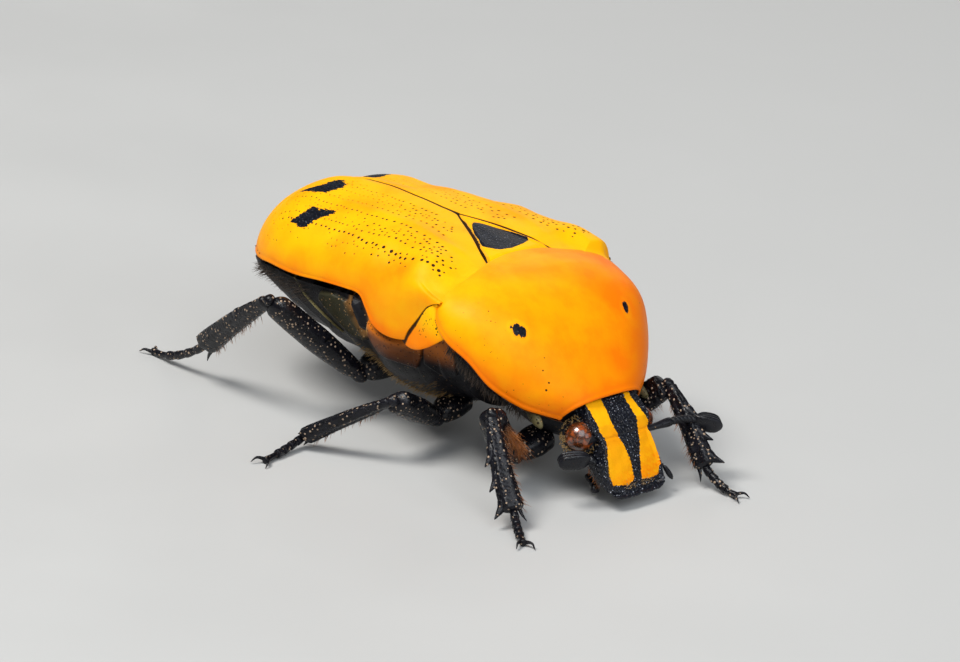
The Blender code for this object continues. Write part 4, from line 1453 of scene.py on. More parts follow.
    def underside(self, bench: Bench, finishes: Finishes) -> None:
        """The chest below the shield, closed in front and behind.

        Args:
            bench: makes the pieces.
            finishes: the finishes to take from.
        """
        u = np.linspace(0, 1, 90)[:, None]
        v = np.linspace(-1, 1, 160)[None]
        grid = self.chest(u, v)
        normals = grid_normals(grid, (4, 0, -5))
        relief = -0.35 * hump(u, 0.42, 0.2) * hump(np.abs(v), 0.42, 0.22) + 0.03 * drift(grid, 1.2, 31)
        grid = grid + normals * relief[..., None]
        masks = {"amber": 0.3 * smoothstep(0.92, 0.99, np.abs(v)) + 0 * u}
        sheets = [grid_sheet(grid, masks=masks)]
        for row, centre in ((0, (-0.2, 0, -4.2)), (1, (7.4, 0, -6.4))):
            edge_top = self.point(np.array([[float(row)]]), v)[0]
            edge_low = self.chest(np.array([[float(row)]]), v[:, ::-1])[0]
            ring = np.concatenate((edge_top, edge_low))
            inward = np.array([-0.14 if row else 0.14, 0, -0.02])
            steps = [ring + inward]
            for share in (0.1, 0.25, 0.45, 0.7, 0.95):
                steps.append(ring + (np.array(centre) - ring) * share + inward)
            sheets.append(grid_sheet(np.stack(steps), around=True, caps=(False, True)).outward((4, 0, -5)))
        for side in (each.value for each in Side):
            axes = ((0.9, 0.1 * side, -0.35), (-0.1 * side, 1, 0), (0.35, 0, 0.9))
            lobe = ball((6.6, 4.05 * side, -5.78), (0.85, 0.24, 0.34), 60, 80, axes)
            lobe.masks = {"cream": np.full(len(lobe.points), 0.25)}
            lobe.masks["pit"] = (drift(lobe.points, 0.16, 3) > 0.75) * 1.0
            sheets.append(lobe)
        bench.piece("chest_underside", joined(sheets), finishes.body, ["fore_chest"], Slot.BLACK)


@dataclass(frozen=True)
class FaceAxes:
    """The head's own axes: down the face, to the side, and out of it."""

    top: tuple = (8.5, 0, -4.35)
    down_way: tuple = (0.53, 0, -0.848)
    out_way: tuple = (0.848, 0, 0.53)

    def point(self, down: Values, side: Values, out: Values) -> np.ndarray:
        """A place in the head's axes, in body millimetres.

        Args:
            down: distance down the face.
            side: distance to the left.
            out: distance out of the face.

        Returns:
            The place, or an array of them.
        """
        down, side, out = np.broadcast_arrays(down, side, out)
        place = np.asarray(self.top, float) + down[..., None] * np.array(self.down_way)
        return place + side[..., None] * np.array((0.0, 1.0, 0.0)) + out[..., None] * np.array(self.out_way)


FACE = FaceAxes()


@dataclass
class Head:
    """The head: a flat face with an upturned rim, two yellow stripes, eye sockets and mouth parts."""

    ring_out: Profile = Profile(
        ((0, 0), (0.46, 0.92), (0.52, 0.99), (0.56, 1.0), (0.7, 0.95), (0.84, 0.65), (0.93, 0.3), (1, 0))
    )
    ring_deep: Profile = Profile(
        ((0, 0), (0.5, 0), (0.54, 0.03), (0.6, 0.16), (0.7, 0.62), (0.84, 0.93), (0.93, 1), (1, 1))
    )
    half_width: Profile = Profile(
        ((0.2, 1.95), (0.9, 2.12), (1.6, 2.22), (2.1, 2.06), (2.5, 1.88), (3.4, 2), (4.6, 2.15), (5.5, 2.08))
    )
    depth: Profile = Profile(((0.2, 3), (1.5, 3.2), (3, 2.6), (4.2, 1.7), (5.5, 0.9)))
    sunk: float = 0.5
    sunk_length: float = 1.6
    slant: float = 0.3
    rows: int = 190
    columns: int = 300
    near_stripe: tuple = (
        (0.0, -1.93), (0.24, -1.91), (0.95, -1.83), (1.4, -1.8), (1.83, -1.82), (2.26, -1.55), (2.83, -1.54),
        (3.63, -1.75), (4.35, -1.87), (4.88, -1.79), (5.08, -0.68), (4.82, -0.13), (4.17, -0.11),
        (3.5, -0.15), (2.9, -0.33), (2.28, -0.58), (1.58, -0.79), (0.79, -0.76), (0.0, -0.77)
    )
    far_stripe: tuple = (
        (0.0, 0.96), (0.67, 0.95), (1.18, 1.05), (1.68, 1.08), (2.24, 1.02), (2.88, 0.92), (4.12, 0.56),
        (4.98, 0.4), (5.04, 1.3), (4.95, 1.79), (4.43, 2.0), (3.87, 2.03), (3.13, 2.08), (2.53, 1.95),
        (2.3, 1.8), (2.02, 2.0), (1.62, 1.8), (1.04, 1.62), (0.45, 1.44), (0.0, 1.36)
    )
    eye_down: float = 1.86
    eye_side: float = 2.3
    eye_out: float = -1.06
    eye_radius: float = 0.82

    def ring_share(self, q: Values) -> Values:
        """How far out to the side the head's section is at q, from 0 in front to 1 behind."""
        return self.ring_out(q)

    def ring_drop(self, q: Values) -> Values:
        """How deep the head's section is at q, as a share of its depth."""
        return self.ring_deep(q)

    def build(self, bench: Bench, finishes: Finishes) -> None:
        """Makes the head's shell.

        Args:
            bench: makes the pieces.
            finishes: the finishes to take from.
        """
        i = (np.linspace(0, 1, self.rows) ** 0.9)[:, None]
        q = np.linspace(-1, 1, self.columns, endpoint=False)[None]
        share = self.ring_share(np.abs(q)) * np.sign(q)
        drop = self.ring_drop(np.abs(q))
        shape = np.abs(share)
        front = 5.25 + 0.52 * (1 - np.minimum(shape, 1) ** 5) ** 0.5 - 0.05 * hump(share, 0, 0.12)
        front = front - 0.55 * smoothstep(0.0, 0.5, drop)
        down = 0.15 + (front - 0.15) * i
        half = self.half_width(np.minimum(down, 5.5))
        notch = 0.1 * hump(down, 2.32, 0.22) * smoothstep(0.8, 1.0, shape) * (drop < 0.3)
        side = (half - notch) * share
        sunk = self.sunk * np.maximum(1 - down / self.sunk_length, 0)
        clypeus = smoothstep(2.3, 2.7, down)
        top_face = 1 - smoothstep(0.0, 0.1, drop)
        crown = 0.1 * (1 - shape**2) - 0.03 * hump(down, 2.34, 0.08) * top_face * (shape < 0.9)
        rim = 0.14 * hump(shape * half, half - 0.08, 0.1) * clypeus * top_face
        to_front = front - down
        rim = np.maximum(rim, 0.15 * hump(to_front, 0.07, 0.12) * top_face)
        dish = -0.05 * hump(to_front, 0.42, 0.25) * top_face
        out = crown + rim + dish - drop * self.depth(np.minimum(down, 5.5)) - sunk
        down = down - self.slant * np.minimum(np.maximum(-out, 0), 1) * smoothstep(0, 0.3, drop)
        grid = FACE.point(down, side, out)
        inside = FACE.point(2.5, 0, -1.3)
        normals = grid_normals(grid, inside, around=True)
        stripes = (self.near_stripe, self.far_stripe)
        mark = -np.maximum(*(outline_depth(down, side, stripe) for stripe in stripes))
        mark = np.maximum(mark, drop * 4 - 0.2)
        dimples = self.punctures(mark, grid)
        grid, pit = dimples.press(grid, normals)
        grid = grid + normals * (0.01 * drift(grid, 0.9, 6))[..., None]
        uneven = 0.6 + 0.4 * drift(grid, 0.35, 14)
        warm = 0.25 * hump(down, 2.4, 0.5) + 0.75 * smoothstep(3.2, 5.2, down + 0.35 * side) * uneven
        masks = {"mark": np.clip(mark, -1, 1), "pit": pit, "warm": warm}
        sheet = grid_sheet(grid, around=True, caps=(True, True), masks=masks).outward(inside)
        bench.piece("head_shell", sheet, finishes.face, ["head"], Slot.BLACK)

    def punctures(self, mark: np.ndarray, grid: np.ndarray) -> Dimples:
        """Coarse punctures on the black parts and sparse ones on the stripes.

        Args:
            mark: depth inside the black parts.
            grid: the head's points.

        Returns:
            The punctures.
        """
        rng = np.random.default_rng(17)
        dimples = Dimples()
        count = grid.shape[0] * grid.shape[1]
        picks = rng.choice(count, 5200, replace=False)
        flat, depth = grid.reshape(-1, 3), mark.reshape(-1)
        kept = []
        for pick in picks:
            if depth[pick] < -0.05 and rng.random() > 0.06 + 0.3 * smoothstep(-7.2, -8.6, flat[pick, 2]):
                continue
            spot = flat[pick]
            if kept and np.abs(np.array(kept) - spot).max(axis=1).min() < 0.1:
                continue
            kept.append(spot)
            black = depth[pick] > -0.05
            dimples.add(spot, 0.055 if black else 0.028, 0.05 if black else 0.012, 0.15 if black else 0.35)
        return dimples


@dataclass
class Eye:
    """One compound eye, the ridge that runs onto it and the scaly rim around it."""

    side: Side
    head: Head

    def build(self, bench: Bench, finishes: Finishes) -> None:
        """Makes the eye, the ridge, the rim and its scales.

        Args:
            bench: makes the pieces.
            finishes: the finishes to take from.
        """
        side = self.side.value
        head = self.head
        node = [f"eye_{self.side.word}"]
        centre = FACE.point(head.eye_down, head.eye_side * side, head.eye_out)
        down_way, out_way, side_way = np.array(FACE.down_way), np.array(FACE.out_way), np.array(
            (0.0, side, 0.0)
        )
        eye = ball(centre, (head.eye_radius,) * 3, 96, 128, np.array((down_way, side_way, out_way)))
        bench.piece(f"eye_globe_{self.side.word}", eye, finishes.eye, node, Slot.EYE)
        stations = [
            FACE.point(head.eye_down + 0.16, 1.75 * side, -0.3),
            FACE.point(head.eye_down + 0.24, 2.2 * side, -0.34),
            FACE.point(head.eye_down + 0.36, 2.6 * side, -0.56),
            FACE.point(head.eye_down + 0.42, 2.92 * side, -0.9),
        ]
        ridge = rod(stations, ((0, 0.7), (0.5, 0.42), (1, 0.2)), down_way, 0.4, 40, 20)
        bench.piece(f"eye_ridge_{self.side.word}", ridge, finishes.body, node, Slot.BLACK)
        axis = unit(side_way * 0.8 + out_way * 0.62 - down_way * 0.05)
        first = unit(np.cross(axis, down_way))
        second = np.cross(axis, first)
        turn = np.linspace(0, 2 * math.pi, 100)[:, None]
        middle = centre - axis * 0.02
        radius = head.eye_radius + 0.03 + 0.05 * np.sin(turn * 3)
        ring = middle + (first * np.cos(turn) + second * np.sin(turn)) * radius
        grid = tube(ring, np.full(100, 0.36), np.full(100, 0.26), axis, 16)
        grid = grid + 0.03 * drift(grid, 0.3, 12)[..., None] * unit(grid - ring[:, None])
        rim = grid_sheet(grid, around=True).outward(centre)
        bench.piece(f"eye_socket_{self.side.word}", rim, finishes.body, node, Slot.BLACK)
        rng = np.random.default_rng(23)
        count = 420
        turns = rng.uniform(0, 2 * math.pi, count)
        spoke = first * np.cos(turns)[:, None] + second * np.sin(turns)[:, None]
        reach = head.eye_radius * rng.uniform(0.94, 1.42, count)[:, None]
        roots = middle + spoke * reach + axis * (0.16 - 0.75 * np.maximum(reach - head.eye_radius - 0.06, 0))
        around = np.cross(axis, spoke) * rng.choice((-1, 1), count)[:, None]
        ways = around * rng.uniform(-1, 1, count)[:, None] + spoke * 0.5 + rng.normal(size=(count, 3)) * 0.5
        kept = rng.random(count) < 0.35 + 0.65 * np.clip(-(spoke @ out_way) + 0.4, 0, 1)
        growth = (roots[kept], ways[kept], rng.uniform(0.05, 0.17, count)[kept], 0.075)
        Strands(5).piece(bench, f"eye_scales_{self.side.word}", growth, finishes.gold_hair, node)


@dataclass
class Feeler:
    """One feeler: a thick first joint, a beaded stem and a club of three leaves."""

    side: Side
    right: tuple = (
        (9.1, 1.9, -7.3), (9.5, 2.1, -7.6), (9.85, 2.35, -7.5), (9.9, 2.75, -7.15), (8.95, 4.15, -7.48)
    )
    left: tuple = (
        (9.7, 2.2, -6.45), (9.9, 3.55, -6.27), (9.9, 4.5, -6.35), (10.05, 5.3, -6.5), (10.8, 6.75, -6.85)
    )

    def build(self, bench: Bench, finishes: Finishes) -> None:
        """Makes the feeler.

        Args:
            bench: makes the pieces.
            finishes: the finishes to take from.
        """
        side = self.side.value
        points = np.array(getattr(self, self.side.word), float) * (1, side, 1)
        root, elbow, bend, club, end = points
        scape = ((0, 0.34), (0.5, 0.42), (0.85, 0.52), (1, 0.46))
        sheets = [rod((root + (root - elbow) * 0.3, root, elbow), scape, rows=40)]
        stem = path_through((elbow, bend, club), 7)
        for first, last in zip(stem[:-1], stem[1:]):
            reach = (last - first) * 0.2
            joint = ((0, 0.34), (0.6, 0.46), (1, 0.38))
            sheets.append(rod((first - reach, last + reach), joint, rows=14, ends=(0.3, 0.3)))
        ahead = unit(end - club)
        spread = unit(np.cross(ahead, (0.2, 0.1, 1)))
        for leaf in (-1, 0, 1):
            shift = spread * 0.22 * leaf
            stations = (club - ahead * 0.1, club + shift * 0.9 + ahead * 0.45, end + shift * 1.1)
            sizes = ((0, 0.5), (0.3, 0.92), (0.7, 0.95), (1, 0.6))
            sheets.append(rod(stations, sizes, np.cross(ahead, spread), 0.38, 30, 20, 2.2, (0.1, 0.2)))
        bench.piece(
            f"feeler_joints_{self.side.word}", joined(sheets), finishes.horn, [f"feeler_{self.side.word}"],
            Slot.BLACK
        )


@dataclass
class Palp:
    """One mouth palp of three joints."""

    side: Side
    right: tuple = ((8.6, 1.2, -9.1), (9.4, 1.4, -9.3), (9.75, 1.5, -9.65))
    left: tuple = ((9.7, 1.75, -8.45), (10.75, 2.55, -8.4), (11.2, 2.98, -9.15))

    def build(self, bench: Bench, finishes: Finishes) -> None:
        """Makes the palp, thinner on the far side.

        Args:
            bench: makes the pieces.
            finishes: the finishes to take from.
        """
        points = np.array(getattr(self, self.side.word), float) * (1, self.side.value, 1)
        root, bend, end = points
        full = 1 if self.side is Side.RIGHT else 0.62
        sheets = [
            rod((root, root + (bend - root) * 0.55), ((0, 0.36 * full), (1, 0.4 * full)), ends=(0.2, 0.2)),
            rod((root + (bend - root) * 0.5, bend), ((0, 0.32 * full), (1, 0.42 * full)), ends=(0.2, 0.2)),
            rod((bend, end), ((0, 0.34 * full), (0.6, 0.5 * full), (1, 0.3 * full)), ends=(0.15, 0.25)),
        ]
        bench.piece(
            f"palp_joints_{self.side.word}", joined(sheets), finishes.horn, [f"palp_{self.side.word}"],
            Slot.BLACK
        )


@dataclass
class SidePlate:
    """The plate that shows between the neck shield and the wing cover's shoulder."""

    side: Side
    rows: int = 90
    columns: int = 44

    def build(self, bench: Bench, finishes: Finishes) -> None:
        """Makes the plate: ruled from the cover's front margin to the shield's back margin, and domed.

        Args:
            bench: makes the pieces.
            finishes: the finishes to take from.
        """
        side = self.side.value
        cover = WingCover(Side.RIGHT).surface()[0][0]
        share = np.linspace(0, 1, self.rows)
        picks = ((0.735 + 0.265 * share) * (len(cover) - 1)).astype(int)
        rear = cover[picks] * (1, 0.985, 1) + (-0.22, 0, -0.1)
        shield = NeckShield()
        round_corner = np.clip((share - 0.12) / 0.88, 0, 1)
        v = np.clip(0.96 + share / 0.12 * 0.04, 0, 1)
        front = shield.point(0.15 * round_corner, -v) * (1, -0.965, 1) + (0.16, 0, -0.1)
        over = np.linspace(0, 1, self.columns)[None, :, None]
        grid = rear[:, None] * (1 - over) + front[:, None] * over
        lift = np.sin(math.pi * over[..., 0]) * (0.1 + 0.2 * share[:, None])
        grid[..., 1] += lift
        grid[..., 2] -= 0.62 * np.sin(math.pi * over[..., 0]) ** 0.8 * share[:, None] ** 5
        inside = (0, 4, -3)
        normals = grid_normals(grid, inside)
        rng = np.random.default_rng(8)
        dimples = Dimples()
        for _ in range(46):
            pick = grid[rng.integers(50, 84), rng.integers(5, 32)]
            dimples.add(pick, rng.uniform(0.025, 0.05), 0.015, rng.uniform(0.4, 1.0))
        for row in range(30, 84, 6):
            dimples.add(grid[row, 34 + rng.integers(-1, 3)], rng.uniform(0.04, 0.07), 0.02, 1.0)
        grid, pit = dimples.press(grid, normals)
        warm = -0.3 + 0.95 * smoothstep(-1.9, -3.4, grid[..., 2])
        edge = np.minimum(over[0, :, 0], 1)[None] + 0 * warm
        pit = np.maximum(pit * 0.7, 0.5 * smoothstep(0.22, 0.08, edge))
        full, before = lipped(grid, grid_normals(grid, inside), 0.06, 0.3, "brl")
        masks = {"warm": warm, "pit": pit, "mark": warm * 0 - 1}
        masks = {name: padded(mask, full.shape, before) for name, mask in masks.items()}
        full[..., 1] *= side
        sheet = grid_sheet(full, masks=masks).outward((0, 4 * side, -3))
        bench.piece(
            f"shoulder_plate_{self.side.word}", sheet, finishes.side, [f"side_plate_{self.side.word}"],
            Slot.ORANGE
        )


@dataclass
class Trunk:
    """The hind chest, belly and tail plate, with their plates and joints."""

    inset: float = 1.05
    bottom: Profile = Profile(
        (
            (-16.3, -6.6), (-15, -7.5), (-13, -8.3), (-10.5, -8.9), (-7, -9.3), (-3, -9.4), (-1, -9),
            (0.1, -8.4)
        )
    )
    flank: Profile = Profile(
        ((-17, 5.2), (-14, 5.7), (-10, 6.15), (-6, 6.3), (-3, 6.45), (-1.8, 6), (-1.1, 5.7), (0.1, 5.45))
    )
    end: float = -16.3
    waist: float = -8.3
    keel: float = 1.12
    joints: tuple = (-7.25, -9.15, -10.9, -12.3, -13.6)
    lens: tuple = (
        (-6.15, -3.3), (-6.25, -3.9), (-5.75, -4.6), (-4.95, -5.35), (-4.55, -4.8), (-4.75, -4.1),
        (-5.4, -3.4)
    )
    coxa: tuple = (
        (-8.7, -4.25), (-8.85, -4.75), (-7.6, -5.5), (-6.3, -6.1), (-5.0, -5.85), (-5.1, -5.5),
        (-6.05, -4.7), (-6.5, -3.9), (-7.6, -3.9)
    )
    strap: tuple = (
        (-10.78, -4.9), (-9.33, -5.56), (-7.78, -6.53), (-7.6, -6.72), (-9.2, -5.8), (-10.6, -5.1)
    )
    flank_plate: tuple = (
        (-4.4, -3.9), (-4.6, -4.9), (-3.5, -5.85), (-1.3, -5.95), (-0.9, -5.0), (-0.9, -3.8)
    )
    fore_plate: tuple = ((-0.8, -3.9), (-0.9, -5.5), (0.2, -6.2), (1.0, -5.6), (1.1, -3.2), (0.1, -3.7))

    def ring(self, x: Values, arc: Values) -> np.ndarray:
        """Points round the trunk at x: arc 0 on the back, 1 below the middle, negative on the right.

        Args:
            x: place along the body.
            arc: place round it.

        Returns:
            The points, in body millimetres.
        """
        edge, back_half, _ = BACK.section(x, self.inset)
        half = np.minimum(back_half, self.flank(x))
        side = self.flank(x) * BACK.apex_share(x, self.end - 1.5, BACK.apex_plan)
        side = np.maximum(side, half + 0.02)
        bottom = self.bottom(x)
        shelf = edge - 0.5
        power = BACK.squareness(x)
        share = np.abs(arc)
        top_arc = np.clip(share / 0.34, 0, 1) * math.pi / 2
        low_arc = np.clip((share - 0.36) / 0.64, 0, 1) * math.pi / 2
        y_top = half * np.sin(top_arc) ** (2 / power)
        z_top = np.maximum(BACK.height(x, y_top, self.inset), edge - 0.1)
        y_low = side * np.maximum(np.cos(low_arc), 0) ** self.keel
        z_low = shelf - (shelf - bottom) * np.sin(low_arc) ** self.keel
        upper = share < 0.35
        y = np.where(upper, y_top, y_low) * np.sign(arc)
        z = np.where(upper, z_top, z_low)
        return np.stack(np.broadcast_arrays(x, y, z), axis=-1)

    def build(self, bench: Bench, finishes: Finishes) -> None:
        """Makes the trunk as three pieces.

        Args:
            bench: makes the pieces.
            finishes: the finishes to take from.
        """
        self.section(bench, finishes, "chest_plates", self.waist - 0.6, 1.15, 230, ["hind_chest"])
        self.section(
            bench, finishes, "belly_rings", self.end, self.waist + 0.1, 200, ["belly", "tail_plate"]
        )
        self.coat(
            bench, "chest_hair", "hind_chest", finishes.gold_hair, (-6.8, -0.6), (0.62, 0.93), 1500,
            (0.2, 0.42)
        )
        self.coat(
            bench, "belly_hair", "belly", finishes.dark_hair, (-15.2, -9.5), (0.37, 0.48), 700, (0.3, 0.7)
        )

    def coat(
        self, bench: Bench, name: str, node: str, finish: Material, reach: tuple, arcs: tuple, count: int,
        lengths: tuple
    ) -> None:
        """Grows short hair on both sides of a length of the trunk.

        Args:
            bench: where pieces are made.
            name: the piece's name.
            node: the solid that it grows on.
            finish: the hair's finish.
            reach: first and last place along the body.
            arcs: first and last place round it.
            count: number of strands.
            lengths: shortest and longest strand.
        """
        rng = np.random.default_rng(count)
        x = rng.uniform(*reach, count)
        arc = rng.uniform(*arcs, count) * rng.choice((-1, 1), count)
        roots = self.ring(x, arc)
        inside = np.stack((x, 0 * x, 0 * x - 5.5), axis=-1)
        ways = unit(roots - inside) * 0.7 + (-0.8, 0, -0.3) + rng.normal(size=roots.shape) * 0.2
        growth = (roots, ways, rng.uniform(*lengths, count), 0.03)
        Strands(count).piece(bench, name, growth, finish, [node])

    def section(
        self, bench: Bench, finishes: Finishes, name: str, start: float, end: float, rows: int, nodes: list
    ) -> None:
        """Makes a length of the trunk.

        Args:
            bench: makes the pieces.
            finishes: the finishes to take from.
            name: the piece's name.
            start: where it begins.
            end: where it ends.
            rows: rows of points.
            nodes: the solid nodes that it stands for.
        """
        x = np.linspace(end, start, rows)[:, None]
        arc = np.linspace(-1, 1, 320, endpoint=False)[None]
        base_x = np.minimum(x, 0.1)
        grid = self.ring(base_x, arc)
        grid[..., 0] = x
        shrink = smoothstep(0.1, 1.2, x)
        grid[..., 1] *= 1 - 0.08 * shrink
        inside = ((start + end) / 2, 0, -5.2)
        normals = grid_normals(grid, inside, around=True)
        ax, az = grid[..., 0], grid[..., 2]
        lateral = smoothstep(0.25, 0.5, np.abs(normals[..., 1])) * (az < -3.2)
        shift = -1.75 * np.clip(az + 6.9, 0, 3)
        along = ax - shift
        relief = 0.008 * drift(grid, 1.1, 41)
        cream, olive, amber = np.zeros(ax.shape), np.zeros(ax.shape), np.zeros(ax.shape)
        below = az < -3.6
        for index, joint in enumerate(self.joints):
            width = self.joints[index] - (self.joints[index + 1] if index + 1 < len(self.joints) else -15.2)
            part = np.clip((joint - along) / width, 0, 1)
            relief += np.where((along < joint) & (along >= joint - width) & below, 0.2 * part**1.5 - 0.1, 0)
            line = hump(along, joint - 0.05, 0.16) * below
            if index == 0:
                cream = np.maximum(cream, line * smoothstep(-7.9, -6.8, az))
        lens = outline_depth(ax, az, self.lens)
        coxa = outline_depth(ax, az, self.coxa)
        flank = outline_depth(ax, az, self.flank_plate)
        fore = outline_depth(ax, az, self.fore_plate)
        relief += lateral * (0.42 * smoothstep(-0.02, 0.45, lens) + 0.34 * smoothstep(-0.04, 0.12, coxa))
        relief += lateral * (0.26 * smoothstep(-0.04, 0.1, flank) + 0.2 * smoothstep(-0.04, 0.1, fore))
        # The amber and cream band round the lens is partly the plate's own amber rim and partly a painted
        # highlight along its margin.
        rim = hump(lens, -0.14, 0.12) * lateral
        amber = np.maximum(amber, 0.6 * rim)
        strap = outline_depth(ax, az, self.strap)
        cream = np.maximum(cream, lateral * smoothstep(-0.05, 0.03, strap))
        relief += 0.12 * lateral * smoothstep(-0.06, 0.04, strap)
        # Cream on the lens rim: part of the painted highlight along its margin.
        cream = np.maximum(cream, 0.4 * rim)
        top_edge = 0.95 * smoothstep(-5.0, -4.3, az) + 0.2 * smoothstep(-6.1, -5.0, az)
        amber = np.maximum(amber, lateral * smoothstep(-0.02, 0.05, flank) * top_edge)
        amber = np.maximum(amber, lateral * smoothstep(0, 0.1, fore) * smoothstep(-5.4, -4.0, az) * 0.6)
        olive = lateral * smoothstep(-0.03, 0.06, coxa)
        middle = hump(grid[..., 1], 0, 0.06) * (az < -6.5) * (ax > -5.6)
        relief -= 0.06 * middle
        grid = grid + normals * relief[..., None]
        masks = {"cream": cream * 0.9, "amber": amber, "olive": olive, "pit": 0 * ax}
        sheet = grid_sheet(grid, around=True, caps=(True, True), masks=masks).outward(inside)
        bench.piece(name, sheet, finishes.body, nodes, Slot.BLACK)


@dataclass(frozen=True)
class LegShape:
    """The sizes of one pair of legs, with Y outwards. Teeth are shares of the shin's length."""

    right: tuple
    left: tuple
    hip: tuple
    hip_size: tuple
    thigh_width: float
    shin_width: float
    teeth: tuple
    tooth_reach: float
    spur: float
    spur_ways: tuple = (-0.35, 0.3)
    thigh_pits: int = 420
    thigh_pit_size: float = 0.055
    right_outer: tuple = ()


MID_POINTS = ((-0.9, 3.8, -9.3), (-0.6, 7.6, -7.2), (-4.8, 10, -10.85), (-4.12, 13.42, -11.4))
HIND_POINTS = ((-6.9, 4.2, -9.1), (-9.9, 9, -4.8), (-15.5, 8, -10.3), (-20.2, 7.6, -13))
LEG_SHAPES = {
    Kind.FORE: LegShape(
        right=((5.3, 3.65, -8.8), (5.95, 6.8, -5.2), (10.1, 8.3, -9), (12.3, 9.57, -9.77)),
        left=((5.3, 3.65, -8.5), (7.55, 5.4, -5.35), (11.8, 4.9, -8.62), (14.05, 5.22, -9.59)),
        hip=(5.2, 2, -8.3),
        hip_size=(1.15, 1.25, 0.95),
        thigh_width=1.62,
        shin_width=1.14,
        teeth=(0.45, 0.7, 0.97),
        tooth_reach=1.15,
        spur=0.95,
        spur_ways=(0.1,),
        thigh_pits=300,
        thigh_pit_size=0.085,
        right_outer=(-0.55, -0.8, -0.1),
    ),
    Kind.MID: LegShape(
        right=MID_POINTS,
        left=MID_POINTS,
        hip=(-1, 2.3, -8.7),
        hip_size=(1.1, 1.25, 1),
        thigh_width=1.6,
        shin_width=1.1,
        teeth=(0.55, 0.97),
        tooth_reach=0.6,
        spur=0.7,
    ),
    Kind.HIND: LegShape(
        right=HIND_POINTS,
        left=HIND_POINTS,
        hip=(-6.6, 2.25, -8.45),
        hip_size=(1.3, 1.7, 0.85),
        thigh_width=1.72,
        shin_width=1.3,
        teeth=(0.5, 0.97),
        tooth_reach=0.65,
        spur=1.1,
    ),
}


